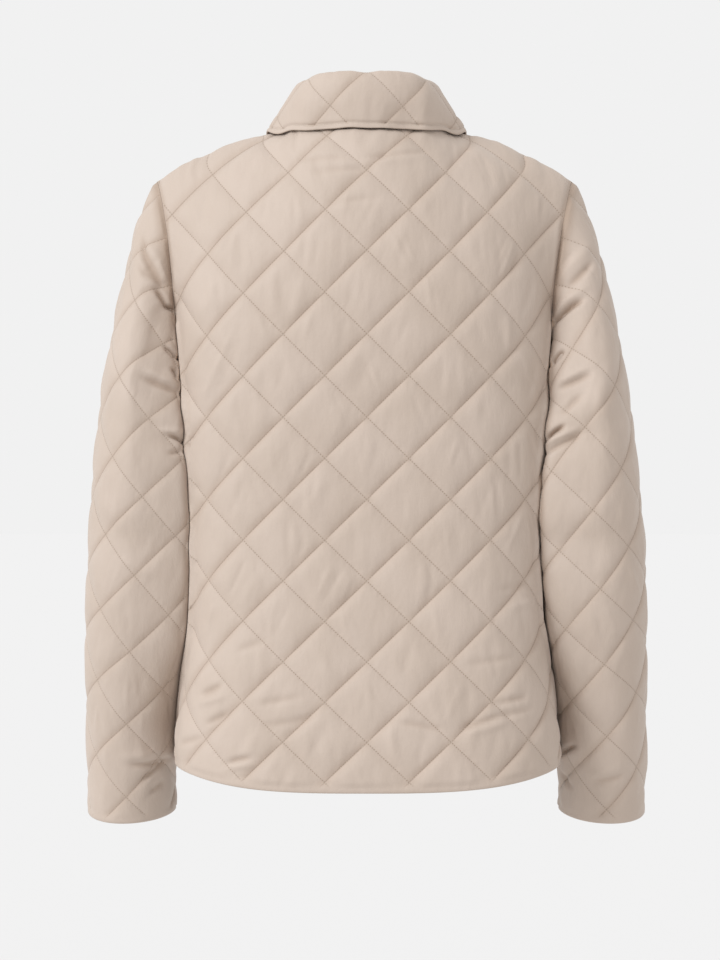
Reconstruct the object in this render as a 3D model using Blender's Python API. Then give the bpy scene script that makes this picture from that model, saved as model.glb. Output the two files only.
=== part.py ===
"""A hip-length quilted jacket, worn and hollow: back, fronts, sleeves, turned-down collar and buttons.

Z is up, the fronts face -Y and the back faces +Y, so the wearer's left is +X. The origin lies between
the shoulders, at the height of the neck seam, where the wearer's shoulders carry the jacket. Sizes are in
metres.
Each cloth panel is a grid of points on its outer face and the same grid moved in by the wall.
"""

import math

import bpy
import numpy as np
from mathutils import Matrix, Vector
from mathutils.bvhtree import BVHTree

# The cloth: shell, light wadding and inner face, quilted together.
WALL = 0.004
SEAM_GAP = 0.0003

# The hem, seen from behind: level at the middle and a little higher at the side seams.
HEM_CENTRE_Z = -0.6437
HEM_SIDE_RISE = 0.0177
HEM_RISE_POWER = 3.2
UNDERARM_Z = -0.255

# The body between hem and underarm. half_width is at the side seam, back and front are the depths in Y.
BODY_SQUARENESS = {"back": 2.75, "front": 2.25}
BODY_COLUMNS = ("place", "height", "half_width", "back", "front", "side_y")
BODY_ROWS = (
    ("hem", -0.645, 0.1935, 0.122, 0.118, 0.016),
    ("low_hip", -0.600, 0.1915, 0.121, 0.119, 0.016),
    ("hip", -0.545, 0.1840, 0.117, 0.119, 0.016),
    ("high_hip", -0.508, 0.1782, 0.114, 0.120, 0.016),
    ("waist", -0.465, 0.1755, 0.112, 0.122, 0.015),
    ("ribs", -0.400, 0.1750, 0.110, 0.127, 0.012),
    ("bust", -0.310, 0.1762, 0.112, 0.134, 0.006),
    ("underarm", -0.255, 0.1788, 0.114, 0.134, 0.002),
)

# The top edge of each panel: along the shoulder seam from tip to neck, then round the neck to the middle.
SHOULDER_TIP = (0.2085, -0.004, -0.0460)
NECK_SIDE = (0.078, 0.010, 0.004)
SHOULDER_CROWN = 0.008
BACK_NECK = {"depth_y": 0.058, "drop": 0.007, "drop_power": 1.0, "shoulder_share": 0.60}
FRONT_NECK = {"depth_y": -0.072, "drop": 0.082, "drop_power": 1.6, "shoulder_share": 0.55}

# Above the underarm each column of cloth is one curve, from its foot at the underarm level to the top edge.
# rise is how it leaves its foot, at the armhole and elsewhere. The shoulder points bend it to the top edge.
RISE = {
    "back": {"armhole": (0.003, 0.052, 0.042), "inside": (0.000, 0.004, 0.100)},
    "front": {"armhole": (0.003, -0.050, 0.040), "inside": (0.000, -0.001, 0.080)},
}
ARMHOLE_PULL_POWER = 4
SHOULDER_COLUMNS = ("place", "share", "x", "y", "z")
SHOULDER_ROWS = {
    "back": (
        ("tip", 0.0, 0.193, 0.058, -0.080),
        ("shoulder", 0.3, 0.141, 0.079, -0.050),
        ("neck_side", 0.6, 0.085, 0.097, -0.033),
        ("nape_side", 0.8, 0.044, 0.107, -0.042),
        ("nape", 1.0, 0.000, 0.110, -0.048),
    ),
    "front": (
        ("tip", 0.0, 0.190, -0.060, -0.084),
        ("shoulder", 0.28, 0.140, -0.073, -0.058),
        ("neck_side", 0.55, 0.083, -0.083, -0.051),
        ("throat_side", 0.78, 0.044, -0.094, -0.085),
        ("throat", 1.0, 0.000, -0.102, -0.116),
    ),
}

# The front closing: the right front laps over the left one.
LAP_REACH = 0.015
LAP_FULL_FROM = 0.018
LAP_RISES_FROM = 0.045
LAP_GAP = 0.0007
FRONT_ARC = 0.250

# The sleeve's rings, from the armhole to the cuff. outer and inner are the ring's outermost and innermost
# points, tilt is how far its back hangs below its middle, and press is how flat it lies along the body.
SLEEVE_COLUMNS = (
    "place",
    "run",
    "outer_x",
    "outer_z",
    "inner_x",
    "inner_z",
    "half_depth",
    "centre_y",
    "tilt",
    "press",
)
SLEEVE_ROWS = (
    ("armhole", 0.00, 0.2085, -0.046, 0.1788, -0.255, 0.058, 0.002, 0.00, 0.0),
    ("cap", 0.09, 0.2300, -0.094, 0.1840, -0.275, 0.062, 0.007, 0.00, 0.7),
    ("upper", 0.20, 0.2450, -0.154, 0.1845, -0.300, 0.065, 0.011, 0.00, 1.0),
    ("bicep", 0.32, 0.2580, -0.222, 0.1850, -0.332, 0.066, 0.014, 0.00, 1.0),
    ("above_elbow", 0.44, 0.2680, -0.290, 0.1820, -0.368, 0.064, 0.016, 0.00, 1.0),
    ("elbow", 0.60, 0.2778, -0.392, 0.1790, -0.430, 0.059, 0.013, 0.04, 1.0),
    ("below_elbow", 0.72, 0.2812, -0.470, 0.1805, -0.492, 0.056, 0.003, 0.10, 0.8),
    ("forearm", 0.84, 0.2830, -0.554, 0.1905, -0.560, 0.053, -0.016, 0.15, 0.2),
    ("low", 0.93, 0.2840, -0.624, 0.1965, -0.624, 0.050, -0.034, 0.18, 0.0),
    ("cuff", 1.00, 0.2845, -0.684, 0.1975, -0.681, 0.0475, -0.047, 0.18, 0.0),
)
SLEEVE_CLEARANCE = 0.0030
PRESS_SHARPNESS = 1.3
ARMHOLE_FADE_RUN = 0.34

# Large soft folds. turn goes round the sleeve from the underarm over the back, run goes down it.
FOLDS_START_RUN = 0.12
SLEEVE_GIRTH = 0.345
SLEEVE_LENGTH = 0.600
FOLD_COLUMNS = ("place", "turn", "run", "lean_deg", "half_length", "half_width", "depth")
SLEEVE_FOLDS = (
    ("under_the_arm", 0.13, 0.22, 35, 0.070, 0.020, -0.0035),
    ("armhole_drag", 0.22, 0.36, 30, 0.075, 0.022, -0.0030),
    ("elbow_back", 0.20, 0.58, 12, 0.060, 0.020, -0.0030),
    ("elbow_front", 0.78, 0.60, -15, 0.070, 0.024, -0.0040),
    ("bicep_front", 0.86, 0.34, -30, 0.070, 0.022, -0.0035),
    ("above_cuff", 0.16, 0.88, 8, 0.045, 0.018, -0.0025),
)

# The collar at five places from the middle of the back to the middle of the front.
COLLAR_COLUMNS = ("place", "share", "roll_x", "roll_y", "roll_z", "edge_x", "edge_y", "edge_z")
COLLAR_ROWS = (
    ("back", 0.0, 0.000, 0.058, 0.0520, 0.000, 0.089, -0.0080),
    ("back_corner", 0.5, 0.046, 0.045, 0.0510, 0.062, 0.076, -0.0075),
    ("side", 1.0, 0.0655, 0.005, 0.0400, 0.0935, 0.018, -0.0010),
    ("chest_corner", 1.5, 0.049, -0.042, -0.0020, 0.095, -0.062, -0.0500),
    ("front", 2.0, 0.0030, -0.068, -0.0500, 0.046, -0.116, -0.1280),
)
COLLAR_ROLL_RADIUS = 0.0045
COLLAR_ROLL_ANGLE = math.radians(145)
COLLAR_BEND_IN = 0.003
COLLAR_BEND_UP = 0.006
COLLAR_FALL_PARTS = (0.25, 0.5, 0.75, 1.0)
COLLAR_FALL_CROWN = 0.003
COLLAR_CLEARANCE = 0.0015
SETTLING_PASSES = 3
COLLAR_SEAM_GAP = 0.0002
COLLAR_END_GAP = 0.0015
BODY_PANELS = ("back", "front_left", "front_right")

# The front buttons, on the middle line of the right front. levels are panel levels, hem 0 to neck 2.
BUTTON_RADIUS = 0.0090
BUTTON_THICKNESS = 0.0030
BUTTON_DISH = 0.0008
BUTTON_GAP = 0.0005
BUTTON_LEVELS = (0.20, 0.47, 0.74, 1.04, 1.42)
BUTTON_SIDES = 16

# How many cells each panel's grid has.
SHOULDER_CELLS = 6
BACK_NECK_CELLS = 4
FRONT_NECK_CELLS = 5
SIDE_CELLS = 12
ARMHOLE_CELLS = 12
SLEEVE_CELLS = 17
COLLAR_ROLL_CELLS = 4

# Base colours and finishes.
CLOTH_COLOUR = (0.655, 0.565, 0.476, 1.0)
BUTTON_COLOUR = (0.420, 0.345, 0.275, 1.0)
CLOTH_ROUGHNESS = 0.72
BUTTON_ROUGHNESS = 0.38


def column(columns, rows, name):
    """One named column of a table, as an array."""
    at = columns.index(name)
    return np.array([row[at] for row in rows], float)


def through(xs, ys, at):
    """The smooth curve through (xs, ys), read at the given places."""
    order = np.argsort(xs)
    xs, ys = np.asarray(xs)[order], np.asarray(ys)[order]
    slopes = np.gradient(ys, xs)
    at = np.clip(np.asarray(at, float), xs[0], xs[-1])
    i = np.clip(np.searchsorted(xs, at, side="right") - 1, 0, len(xs) - 2)
    step = xs[i + 1] - xs[i]
    t = (at - xs[i]) / step
    start = (2 * t**3 - 3 * t**2 + 1) * ys[i] + (t**3 - 2 * t**2 + t) * step * slopes[i]
    end = (3 * t**2 - 2 * t**3) * ys[i + 1] + (t**3 - t**2) * step * slopes[i + 1]
    return start + end


def smooth_step(t):
    """0 below t = 0, 1 above t = 1, and a smooth rise between."""
    t = np.clip(t, 0.0, 1.0)
    return t * t * (3 - 2 * t)


def unit(vectors):
    """The vectors at length 1."""
    lengths = np.linalg.norm(vectors, axis=-1, keepdims=True)
    return vectors / np.maximum(lengths, 1e-12)


# The body's outer face.


def section_angle(face, share):
    """The section's angle at an even share of the way from the side seam (0) to the middle (1)."""
    angles = np.linspace(0, math.pi / 2, 181)
    width = column(BODY_COLUMNS, BODY_ROWS, "half_width").mean()
    depth = column(BODY_COLUMNS, BODY_ROWS, face).mean()
    x = width * np.cos(angles) ** (2 / BODY_SQUARENESS[face])
    y = depth * np.sin(angles) ** (2 / BODY_SQUARENESS[face])
    way = np.concatenate([[0], np.cumsum(np.hypot(np.diff(x), np.diff(y)))])
    return np.interp(share, way / way[-1], angles)


def torso_point(face, share, level):
    """A point between the hem (level 0) and the underarm (level 1)."""
    angle = section_angle(face, share)
    across = np.cos(angle) ** (2 / BODY_SQUARENESS[face])
    hem = HEM_CENTRE_Z + HEM_SIDE_RISE * across**HEM_RISE_POWER
    height = hem + (UNDERARM_Z - hem) * level
    heights = column(BODY_COLUMNS, BODY_ROWS, "height")
    half_width = through(heights, column(BODY_COLUMNS, BODY_ROWS, "half_width"), height)
    depth = through(heights, column(BODY_COLUMNS, BODY_ROWS, face), height)
    side_y = through(heights, column(BODY_COLUMNS, BODY_ROWS, "side_y"), height)
    side = 1 if face == "back" else -1
    reach = (depth - side * side_y) * np.sin(angle) ** (2 / BODY_SQUARENESS[face])
    return np.stack([half_width * across, side_y + side * reach, height], axis=-1)


def body_half_width(y, z):
    """How far the body reaches to the side at this depth and height."""
    heights = column(BODY_COLUMNS, BODY_ROWS, "height")
    side_y = through(heights, column(BODY_COLUMNS, BODY_ROWS, "side_y"), z)
    half_width = through(heights, column(BODY_COLUMNS, BODY_ROWS, "half_width"), z)
    found = np.zeros_like(y)
    for face, side in (("back", 1), ("front", -1)):
        depth = through(heights, column(BODY_COLUMNS, BODY_ROWS, face), z) - side * side_y
        part = np.clip(side * (y - side_y) / depth, 0, 1)
        power = BODY_SQUARENESS[face]
        reach = half_width * (1 - part**power) ** (1 / power)
        found = np.where(side * (y - side_y) >= 0, reach, found)
    return found


def top_edge_point(face, share):
    """A point of the shoulder seam, then of the neckline."""
    neck = BACK_NECK if face == "back" else FRONT_NECK
    along = np.clip(share / neck["shoulder_share"], 0, 1)[..., None]
    seam = np.array(SHOULDER_TIP) + (np.array(NECK_SIDE) - np.array(SHOULDER_TIP)) * along
    crown = SHOULDER_CROWN * 4 * along[..., 0] * (1 - along[..., 0])
    seam = seam + crown[..., None] * np.array((0, 0, 1.0))
    angle = np.clip((share - neck["shoulder_share"]) / (1 - neck["shoulder_share"]), 0, 1) * math.pi / 2
    round_neck = np.stack(
        [
            NECK_SIDE[0] * np.cos(angle),
            NECK_SIDE[1] + neck["depth_y"] * np.sin(angle),
            NECK_SIDE[2] - neck["drop"] * np.sin(angle) ** (2 * neck["drop_power"]),
        ],
        axis=-1,
    )
    return np.where((share > neck["shoulder_share"])[..., None], round_neck, seam)


def rise(face, share):
    """How a column leaves its foot at the underarm level."""
    pull = ((1 - share) ** ARMHOLE_PULL_POWER)[..., None]
    return np.array(RISE[face]["inside"]) * (1 - pull) + np.array(RISE[face]["armhole"]) * pull


def shoulder_point(face, share):
    """The point that bends a column over to the top edge. The table goes on over the middle, mirrored."""
    rows = SHOULDER_ROWS[face]
    at = column(SHOULDER_COLUMNS, rows, "share")
    axes = []
    for axis in "xyz":
        values = column(SHOULDER_COLUMNS, rows, axis)
        beyond = values[-2::-1] * (-1 if axis == "x" else 1)
        axes.append(through(np.concatenate([at, 2 - at[-2::-1]]), np.concatenate([values, beyond]), share))
    return np.stack(axes, axis=-1)


def body_point(face, share, level):
    """A point of the back or a left front. level is 0 at the hem, 1 at the underarm and 2 at the top edge.

    share is 0 at the side seam and armhole and 1 at the middle, and past 1 it goes on over the middle.
    """
    share, level = np.broadcast_arrays(np.asarray(share, float), np.asarray(level, float))
    side = np.where(share > 1, -1.0, 1.0)
    share = 1 - np.abs(1 - share)
    low = torso_point(face, share, np.clip(level, 0, 1))
    foot = torso_point(face, share, np.ones_like(share))
    head = top_edge_point(face, share)
    t = np.clip(level - 1, 0, 1)[..., None]
    second = foot + rise(face, share)
    third = shoulder_point(face, share)
    high = (1 - t) ** 3 * foot + 3 * (1 - t) ** 2 * t * second + 3 * (1 - t) * t**2 * third + t**3 * head
    point = np.where((level > 1)[..., None], high, low)
    point[..., 0] *= side
    return point


# The sleeve's outer face.


def armhole_point(turn):
    """A point of the armhole seam: from the underarm (0) up the back to the tip (0.5) and down the front."""
    back = body_point("back", np.zeros_like(turn), 1 + np.clip(turn * 2, 0, 1))
    front = body_point("front", np.zeros_like(turn), 1 + np.clip(2 - turn * 2, 0, 1))
    return np.where((turn <= 0.5)[..., None], back, front)


def sleeve_ring_point(turn, run):
    """A point of the plain ring at this run down the sleeve."""
    runs = column(SLEEVE_COLUMNS, SLEEVE_ROWS, "run")
    value = {
        name: through(runs, column(SLEEVE_COLUMNS, SLEEVE_ROWS, name), run)
        for name in SLEEVE_COLUMNS[2:]
    }
    across, deep = np.cos(math.pi - 2 * math.pi * turn), np.sin(math.pi - 2 * math.pi * turn)
    outward = (1 + across) / 2
    x = value["inner_x"] + (value["outer_x"] - value["inner_x"]) * outward
    y = value["centre_y"] + value["half_depth"] * deep
    z = value["inner_z"] + (value["outer_z"] - value["inner_z"]) * outward
    z = z - value["tilt"] * value["half_depth"] * deep
    beside = body_half_width(y, z) + SLEEVE_CLEARANCE
    pressed = value["press"] * smooth_step(-PRESS_SHARPNESS * across)
    return np.stack([x + (beside - x) * pressed, y, z], axis=-1)


def fold_height(folds, turn, run):
    """How far the large folds move the sleeve's cloth out."""
    height = np.zeros_like(turn)
    for row in folds:
        fold = dict(zip(FOLD_COLUMNS, row))
        around = ((turn - fold["turn"] + 0.5) % 1 - 0.5) * SLEEVE_GIRTH
        down = (run - fold["run"]) * SLEEVE_LENGTH
        lean = math.radians(fold["lean_deg"])
        along = (around * math.cos(lean) + down * math.sin(lean)) / fold["half_length"]
        beside = (down * math.cos(lean) - around * math.sin(lean)) / fold["half_width"]
        height += fold["depth"] * np.exp(-(beside**2) - along**4)
    return height


def sleeve_point(turn, run):
    """A point of the left sleeve. turn is 0 at the underarm and 0.25 at the back, run is 1 at the cuff."""
    turn, run = np.broadcast_arrays(np.asarray(turn, float), np.asarray(run, float))
    ring = sleeve_ring_point(turn, run)
    own_shape = armhole_point(turn) - sleeve_ring_point(turn, np.zeros_like(run))
    return ring + own_shape * (1 - smooth_step(run / ARMHOLE_FADE_RUN))[..., None]


# Panels as grids of outer points, rows by columns.


def grid_normals(grid, closed, flip):
    """The outward direction at each point of a grid. closed says that the last column meets the first."""
    if closed:
        wide = np.concatenate([grid[:, -1:], grid, grid[:, :1]], axis=1)
        across = wide[:, 2:] - wide[:, :-2]
    else:
        across = np.gradient(grid, axis=1)
    down = np.gradient(grid, axis=0)
    return unit(np.cross(across, down)) * (-1 if flip else 1)


def back_grid():
    shares = back_shares()
    levels = body_levels()
    return body_point("back", shares[None, :], levels[:, None])


def body_levels():
    low = np.linspace(0, 1, SIDE_CELLS + 1)
    return np.concatenate([low, 1 + np.linspace(0, 1, ARMHOLE_CELLS + 1)[1:]])


def back_shares():
    """From the left side seam to the right one: shares over 1 are the right half."""
    tip_to_neck = np.linspace(0, BACK_NECK["shoulder_share"], SHOULDER_CELLS + 1)
    neck_to_middle = np.linspace(BACK_NECK["shoulder_share"], 1, BACK_NECK_CELLS + 1)[1:]
    left = np.concatenate([tip_to_neck, neck_to_middle])
    return np.concatenate([left, 2 - left[-2::-1]])


def front_shares():
    """From the left side seam to the middle, with columns where the lap rises, then on to the lap's edge."""
    tip_to_neck = np.linspace(0, FRONT_NECK["shoulder_share"], SHOULDER_CELLS + 1)
    rises = 1 - LAP_RISES_FROM / FRONT_ARC
    neck_to_rise = np.linspace(FRONT_NECK["shoulder_share"], rises, FRONT_NECK_CELLS - 1)[1:]
    return np.concatenate(
        [tip_to_neck, neck_to_rise, [1 - LAP_FULL_FROM / FRONT_ARC, 1.0, 1 + LAP_REACH / FRONT_ARC]]
    )


def front_grid():
    return body_point("front", front_shares()[None, :], body_levels()[:, None])


def lapped_grid(grid, normals):
    """The front that lies on top: moved out past the place where it starts to cover the other one."""
    distance = (1 - front_shares()) * FRONT_ARC
    rise = smooth_step((LAP_RISES_FROM - distance) / (LAP_RISES_FROM - LAP_FULL_FROM))
    return grid + normals * ((WALL + LAP_GAP) * rise)[None, :, None]


def sleeve_grid():
    turns = np.arange(2 * ARMHOLE_CELLS) / (2 * ARMHOLE_CELLS)
    runs = np.linspace(0, 1, SLEEVE_CELLS + 1)
    grid = sleeve_point(turns[None, :], runs[:, None])
    turn, run = np.meshgrid(turns, runs)
    folds = fold_height(SLEEVE_FOLDS, turn, run) * smooth_step(run / FOLDS_START_RUN)
    return grid + grid_normals(grid, closed=True, flip=False) * folds[..., None]


def mirrored(grid):
    return grid * np.array((-1.0, 1.0, 1.0))


# Seams: pieces that meet share their outer points and the direction of their wall.


class Panel:
    """A named grid with its outward directions, and the edges that are sewn to another piece."""

    def __init__(self, name, grid, normals, sewn, closed=False):
        self.name = name
        self.grid = grid
        self.normals = normals
        self.sewn = sewn
        self.closed = closed


def point_key(point):
    return tuple(np.round(point * 1e5).astype(int))


def share_seam_directions(panels):
    """Gives points that several panels share one wall direction, halfway between body and sleeve."""
    total = {}
    for closed in (False, True):
        found = {}
        for panel in (panel for panel in panels if panel.closed == closed):
            for point, normal in zip(panel.grid.reshape(-1, 3), panel.normals.reshape(-1, 3)):
                key = point_key(point)
                found[key] = found.get(key, 0) + normal
        for key, normal in found.items():
            total[key] = total.get(key, 0) + unit(normal)
    for panel in panels:
        flat = [total[point_key(point)] for point in panel.grid.reshape(-1, 3)]
        panel.normals = unit(np.array(flat)).reshape(panel.grid.shape)


def edge_inward(panel, edge):
    """The direction from each point of an edge into the panel, square to the edge and to the wall."""
    grid, normals = panel.grid, panel.normals
    rows = {"hem": (0, 1), "top": (-1, -2)}
    if edge in rows:
        first, second = rows[edge]
        line, inside, wall = grid[first], grid[second], normals[first]
    else:
        first, second = {"start": (0, 1), "end": (-1, -2)}[edge]
        line, inside, wall = grid[:, first], grid[:, second], normals[:, first]
    along = unit(np.gradient(line, axis=0))
    if panel.closed:
        along = unit(np.roll(line, -1, axis=0) - np.roll(line, 1, axis=0))
    inward = unit(np.cross(along, wall))
    facing = np.sign((inward * (inside - line)).sum(axis=-1, keepdims=True))
    return inward * np.where(facing == 0, 1, facing)


def seam_shift(panel):
    """How far each point moves to leave half the seam gap at the sewn edges."""
    shift = np.zeros_like(panel.grid)
    for edge, rows in panel.sewn.items():
        inward = edge_inward(panel, edge) * SEAM_GAP / 2
        if edge in ("hem", "top"):
            shift[0 if edge == "hem" else -1][rows] += inward[rows]
        else:
            shift[rows, 0 if edge == "start" else -1] += inward[rows]
    return shift


def make_material(name, colour, roughness):
    material = bpy.data.materials.new(name)
    material.use_nodes = True
    shader = material.node_tree.nodes["Principled BSDF"]
    shader.inputs["Base Color"].default_value = colour
    shader.inputs["Roughness"].default_value = roughness
    shader.inputs["Metallic"].default_value = 0.0
    return material


def add_object(name, points, faces, material):
    mesh = bpy.data.meshes.new(name)
    mesh.from_pydata([tuple(point) for point in points], [], faces)
    mesh.validate()
    mesh.materials.append(material)
    mesh.shade_smooth()
    mesh.set_sharp_from_angle(angle=math.radians(50))
    made = bpy.data.objects.new(name, mesh)
    bpy.context.scene.collection.objects.link(made)
    return made


def rim_triangles(points, first, second, count):
    """The rim between two neighbouring outer points and the inner points below them.

    It is cut along its shorter diagonal, so two pieces that meet there are cut the same way.
    """
    below_first, below_second = first + count, second + count
    falling = np.linalg.norm(points[first] - points[below_second])
    rising = np.linalg.norm(points[second] - points[below_first])
    if falling < rising:
        return [[second, first, below_second], [first, below_first, below_second]]
    return [[second, first, below_first], [second, below_first, below_second]]


def wall_faces(points, rows, columns, closed):
    """Faces of a closed wall: the outer sheet, the inner sheet and the rim. Points are outer, then inner."""
    count = rows * columns
    wraps = columns if closed else columns - 1

    def at(row, col):
        return row * columns + col % columns

    faces = []
    for row in range(rows - 1):
        for col in range(wraps):
            outer = [at(row, col), at(row, col + 1), at(row + 1, col + 1), at(row + 1, col)]
            faces.append(outer)
            faces.append([corner + count for corner in reversed(outer)])
    for col in range(wraps):
        faces += rim_triangles(points, at(0, col), at(0, col + 1), count)
        faces += rim_triangles(points, at(rows - 1, col + 1), at(rows - 1, col), count)
    if not closed:
        for row in range(rows - 1):
            faces += rim_triangles(points, at(row + 1, 0), at(row, 0), count)
            faces += rim_triangles(points, at(row, columns - 1), at(row + 1, columns - 1), count)
    return faces


def signed_volume(points, faces):
    """Six times the volume that the faces hold, negative where they face inwards."""
    total = 0.0
    for face in faces:
        first = points[face[0]]
        for second, third in zip(face[1:-1], face[2:]):
            total += np.dot(first, np.cross(points[second], points[third]))
    return total


def add_panel(panel, material):
    outer = panel.grid + seam_shift(panel)
    inner = outer - panel.normals * WALL
    points = np.concatenate([outer.reshape(-1, 3), inner.reshape(-1, 3)])
    faces = wall_faces(points, *panel.grid.shape[:2], panel.closed)
    if signed_volume(points, faces) < 0:
        faces = [face[::-1] for face in faces]
    return add_object(panel.name, points, faces, material)


# The collar: a stand that rises from the neckline, a roll, and a fall that lies over the shoulders.


def neckline(panels):
    """The neck seam from the left front's middle, round the back, to the right front's middle.

    Gives the middle of the panels' edge, their outward directions, and the directions up out of the seam.
    """
    back, left, right = (next(p for p in panels if p.name == name) for name in BODY_PANELS)
    front = slice(SHOULDER_CELLS, -1)
    inner = slice(SHOULDER_CELLS + 1, -SHOULDER_CELLS - 1)

    def joined(of):
        return np.concatenate([of(left)[-1, front][::-1], of(back)[-1, inner], of(right)[-1, front]])

    outward = joined(lambda panel: panel.normals)
    points = joined(lambda panel: panel.grid) - outward * (WALL / 2)
    inside = joined(lambda panel: panel.grid - np.roll(panel.grid, 1, axis=0))
    up = unit(np.cross(unit(np.gradient(points, axis=0)), outward))
    up = up * np.sign((up * inside).sum(axis=-1, keepdims=True))
    for end, beside in ((0, 1), (-1, -2)):
        part = COLLAR_END_GAP / np.linalg.norm(points[beside] - points[end])
        for values in (points, outward, up):
            values[end] += (values[beside] - values[end]) * part
    return points, outward, up


def collar_shares():
    """Where each neckline point lies: 2 at the middle of the front, 1 at the side, 0 at the back."""
    front = front_shares()[SHOULDER_CELLS:-1]
    start = FRONT_NECK["shoulder_share"]
    half = np.concatenate(
        [1 + (front[::-1] - start) / (1 - start), 1 - np.linspace(0, 1, BACK_NECK_CELLS + 1)[1:]]
    )
    return np.concatenate([half, half[-2::-1]])


def collar_line(part, shares):
    """The roll line or the edge line at these shares, on the left side."""
    at = column(COLLAR_COLUMNS, COLLAR_ROWS, "share")
    lines = []
    for axis in "xyz":
        values = column(COLLAR_COLUMNS, COLLAR_ROWS, f"{part}_{axis}")
        mirror = -1 if axis == "x" else 1
        both = np.concatenate([mirror * values[:0:-1], values])
        lines.append(through(np.concatenate([-at[:0:-1], at]), both, shares))
    return np.stack(lines, axis=-1)


def collar_middle_surface(seam, up):
    """The middle of the collar's wall, one row for each place from the neck seam to the fall's edge."""
    shares = collar_shares()
    half = len(shares) // 2
    mirror = np.where(np.arange(len(shares)) <= half, 1.0, -1.0)[:, None]
    side = np.concatenate([mirror, np.ones_like(mirror), np.ones_like(mirror)], axis=1)
    roll = collar_line("roll", shares) * side
    edge = collar_line("edge", shares) * side
    seam = seam + up * COLLAR_SEAM_GAP
    outward = unit((edge - roll) * np.array((1, 1, 0)))
    top = roll - np.array((0, 0, WALL / 2))
    bend = seam + up * COLLAR_BEND_IN + np.array((0, 0, COLLAR_BEND_UP))
    rows = [seam, bend, bend + (top - bend) * 0.5]
    centre = top + outward * COLLAR_ROLL_RADIUS - np.array((0, 0, COLLAR_ROLL_RADIUS))
    for step in range(COLLAR_ROLL_CELLS + 1):
        angle = math.pi - step * COLLAR_ROLL_ANGLE / COLLAR_ROLL_CELLS
        rows.append(
            centre
            + outward * COLLAR_ROLL_RADIUS * math.cos(angle)
            + np.array((0, 0, COLLAR_ROLL_RADIUS)) * math.sin(angle)
        )
    last = rows[-1]
    for part in COLLAR_FALL_PARTS:
        rows.append(last + (edge - last) * part + outward * COLLAR_FALL_CROWN * math.sin(math.pi * part))
    return np.stack(rows)


def settled(points, tree, clearance):
    """The grid with its points, edge middles and cell middles moved clear of the cloth below."""
    moved = points.copy()
    for _ in range(SETTLING_PASSES):
        push = np.zeros_like(moved)
        for rows, cols in ((0, 0), (1, 0), (0, 1), (1, 1)):
            corners = [
                (slice(r, moved.shape[0] - rows + r), slice(c, moved.shape[1] - cols + c))
                for r in range(rows + 1)
                for c in range(cols + 1)
            ]
            middles = sum(moved[corner] for corner in corners) / len(corners)
            for index in np.ndindex(middles.shape[:-1]):
                point = Vector(middles[index])
                place, normal, _, _ = tree.find_nearest(point)
                short = clearance - (point - place).dot(normal)
                if short > 0:
                    for corner in corners:
                        at = (corner[0].start + index[0], corner[1].start + index[1])
                        if short > np.linalg.norm(push[at]):
                            push[at] = np.array(normal) * short
        moved += push
    return moved


def body_tree(panels):
    """The body's outer faces, with their normals outwards."""
    points, faces = [], []
    for panel in panels:
        rows, columns = panel.grid.shape[:2]
        start = len(points)
        points += [Vector(point) for point in panel.grid.reshape(-1, 3)]
        for row in range(rows - 1):
            for col in range(columns - 1):
                corner = start + row * columns + col
                face = [corner, corner + 1, corner + columns + 1, corner + columns]
                a, b, c = (points[face[i]] for i in (0, 1, 2))
                out = Vector(panel.normals[row, col])
                faces.append(face if (b - a).cross(c - a).dot(out) > 0 else face[::-1])
    return BVHTree.FromPolygons(points, faces)


def add_collar(panels, material):
    seam, outward, up = neckline(panels)
    middle = collar_middle_surface(seam, up)
    tree = body_tree(panels)
    fall_from = 3 + COLLAR_ROLL_CELLS
    middle[fall_from:] = settled(middle[fall_from:], tree, WALL / 2 + COLLAR_CLEARANCE)
    normals = grid_normals(middle, closed=False, flip=False)
    if (normals[0] * outward).sum() < 0:
        normals = -normals
    normals[0] = outward
    outer = middle + normals * WALL / 2
    inner = middle - normals * WALL / 2
    points = np.concatenate([outer.reshape(-1, 3), inner.reshape(-1, 3)])
    faces = wall_faces(points, *middle.shape[:2], closed=False)
    if signed_volume(points, faces) < 0:
        faces = [face[::-1] for face in faces]
    return add_object("collar", points, faces, material)


# The buttons.


def add_button(name, place, normal, material):
    """A turned disc with a dished face, its back parallel to the cloth."""
    profile = (
        (0.0, 0.0),
        (BUTTON_RADIUS * 0.94, 0.0),
        (BUTTON_RADIUS, BUTTON_THICKNESS * 0.35),
        (BUTTON_RADIUS * 0.93, BUTTON_THICKNESS),
        (BUTTON_RADIUS * 0.72, BUTTON_THICKNESS),
        (BUTTON_RADIUS * 0.60, BUTTON_THICKNESS - BUTTON_DISH),
        (0.0, BUTTON_THICKNESS - BUTTON_DISH),
    )
    points = [(0.0, 0.0, profile[0][1])]
    for radius, height in profile[1:-1]:
        for step in range(BUTTON_SIDES):
            angle = 2 * math.pi * step / BUTTON_SIDES
            points.append((radius * math.cos(angle), radius * math.sin(angle), height))
    points.append((0.0, 0.0, profile[-1][1]))
    rings = len(profile) - 2
    faces = []
    for step in range(BUTTON_SIDES):
        after = (step + 1) % BUTTON_SIDES
        faces.append([0, 1 + after, 1 + step])
        for ring in range(rings - 1):
            low, high = 1 + ring * BUTTON_SIDES, 1 + (ring + 1) * BUTTON_SIDES
            faces.append([low + step, low + after, high + after, high + step])
        high = 1 + (rings - 1) * BUTTON_SIDES
        faces.append([high + step, high + after, len(points) - 1])
    made = add_object(name, points, faces, material)
    turn = Vector((0, 0, 1)).rotation_difference(Vector(normal)).to_matrix().to_4x4()
    made.matrix_world = Matrix.Translation(Vector(place) + Vector(normal) * BUTTON_GAP) @ turn
    return made


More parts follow.
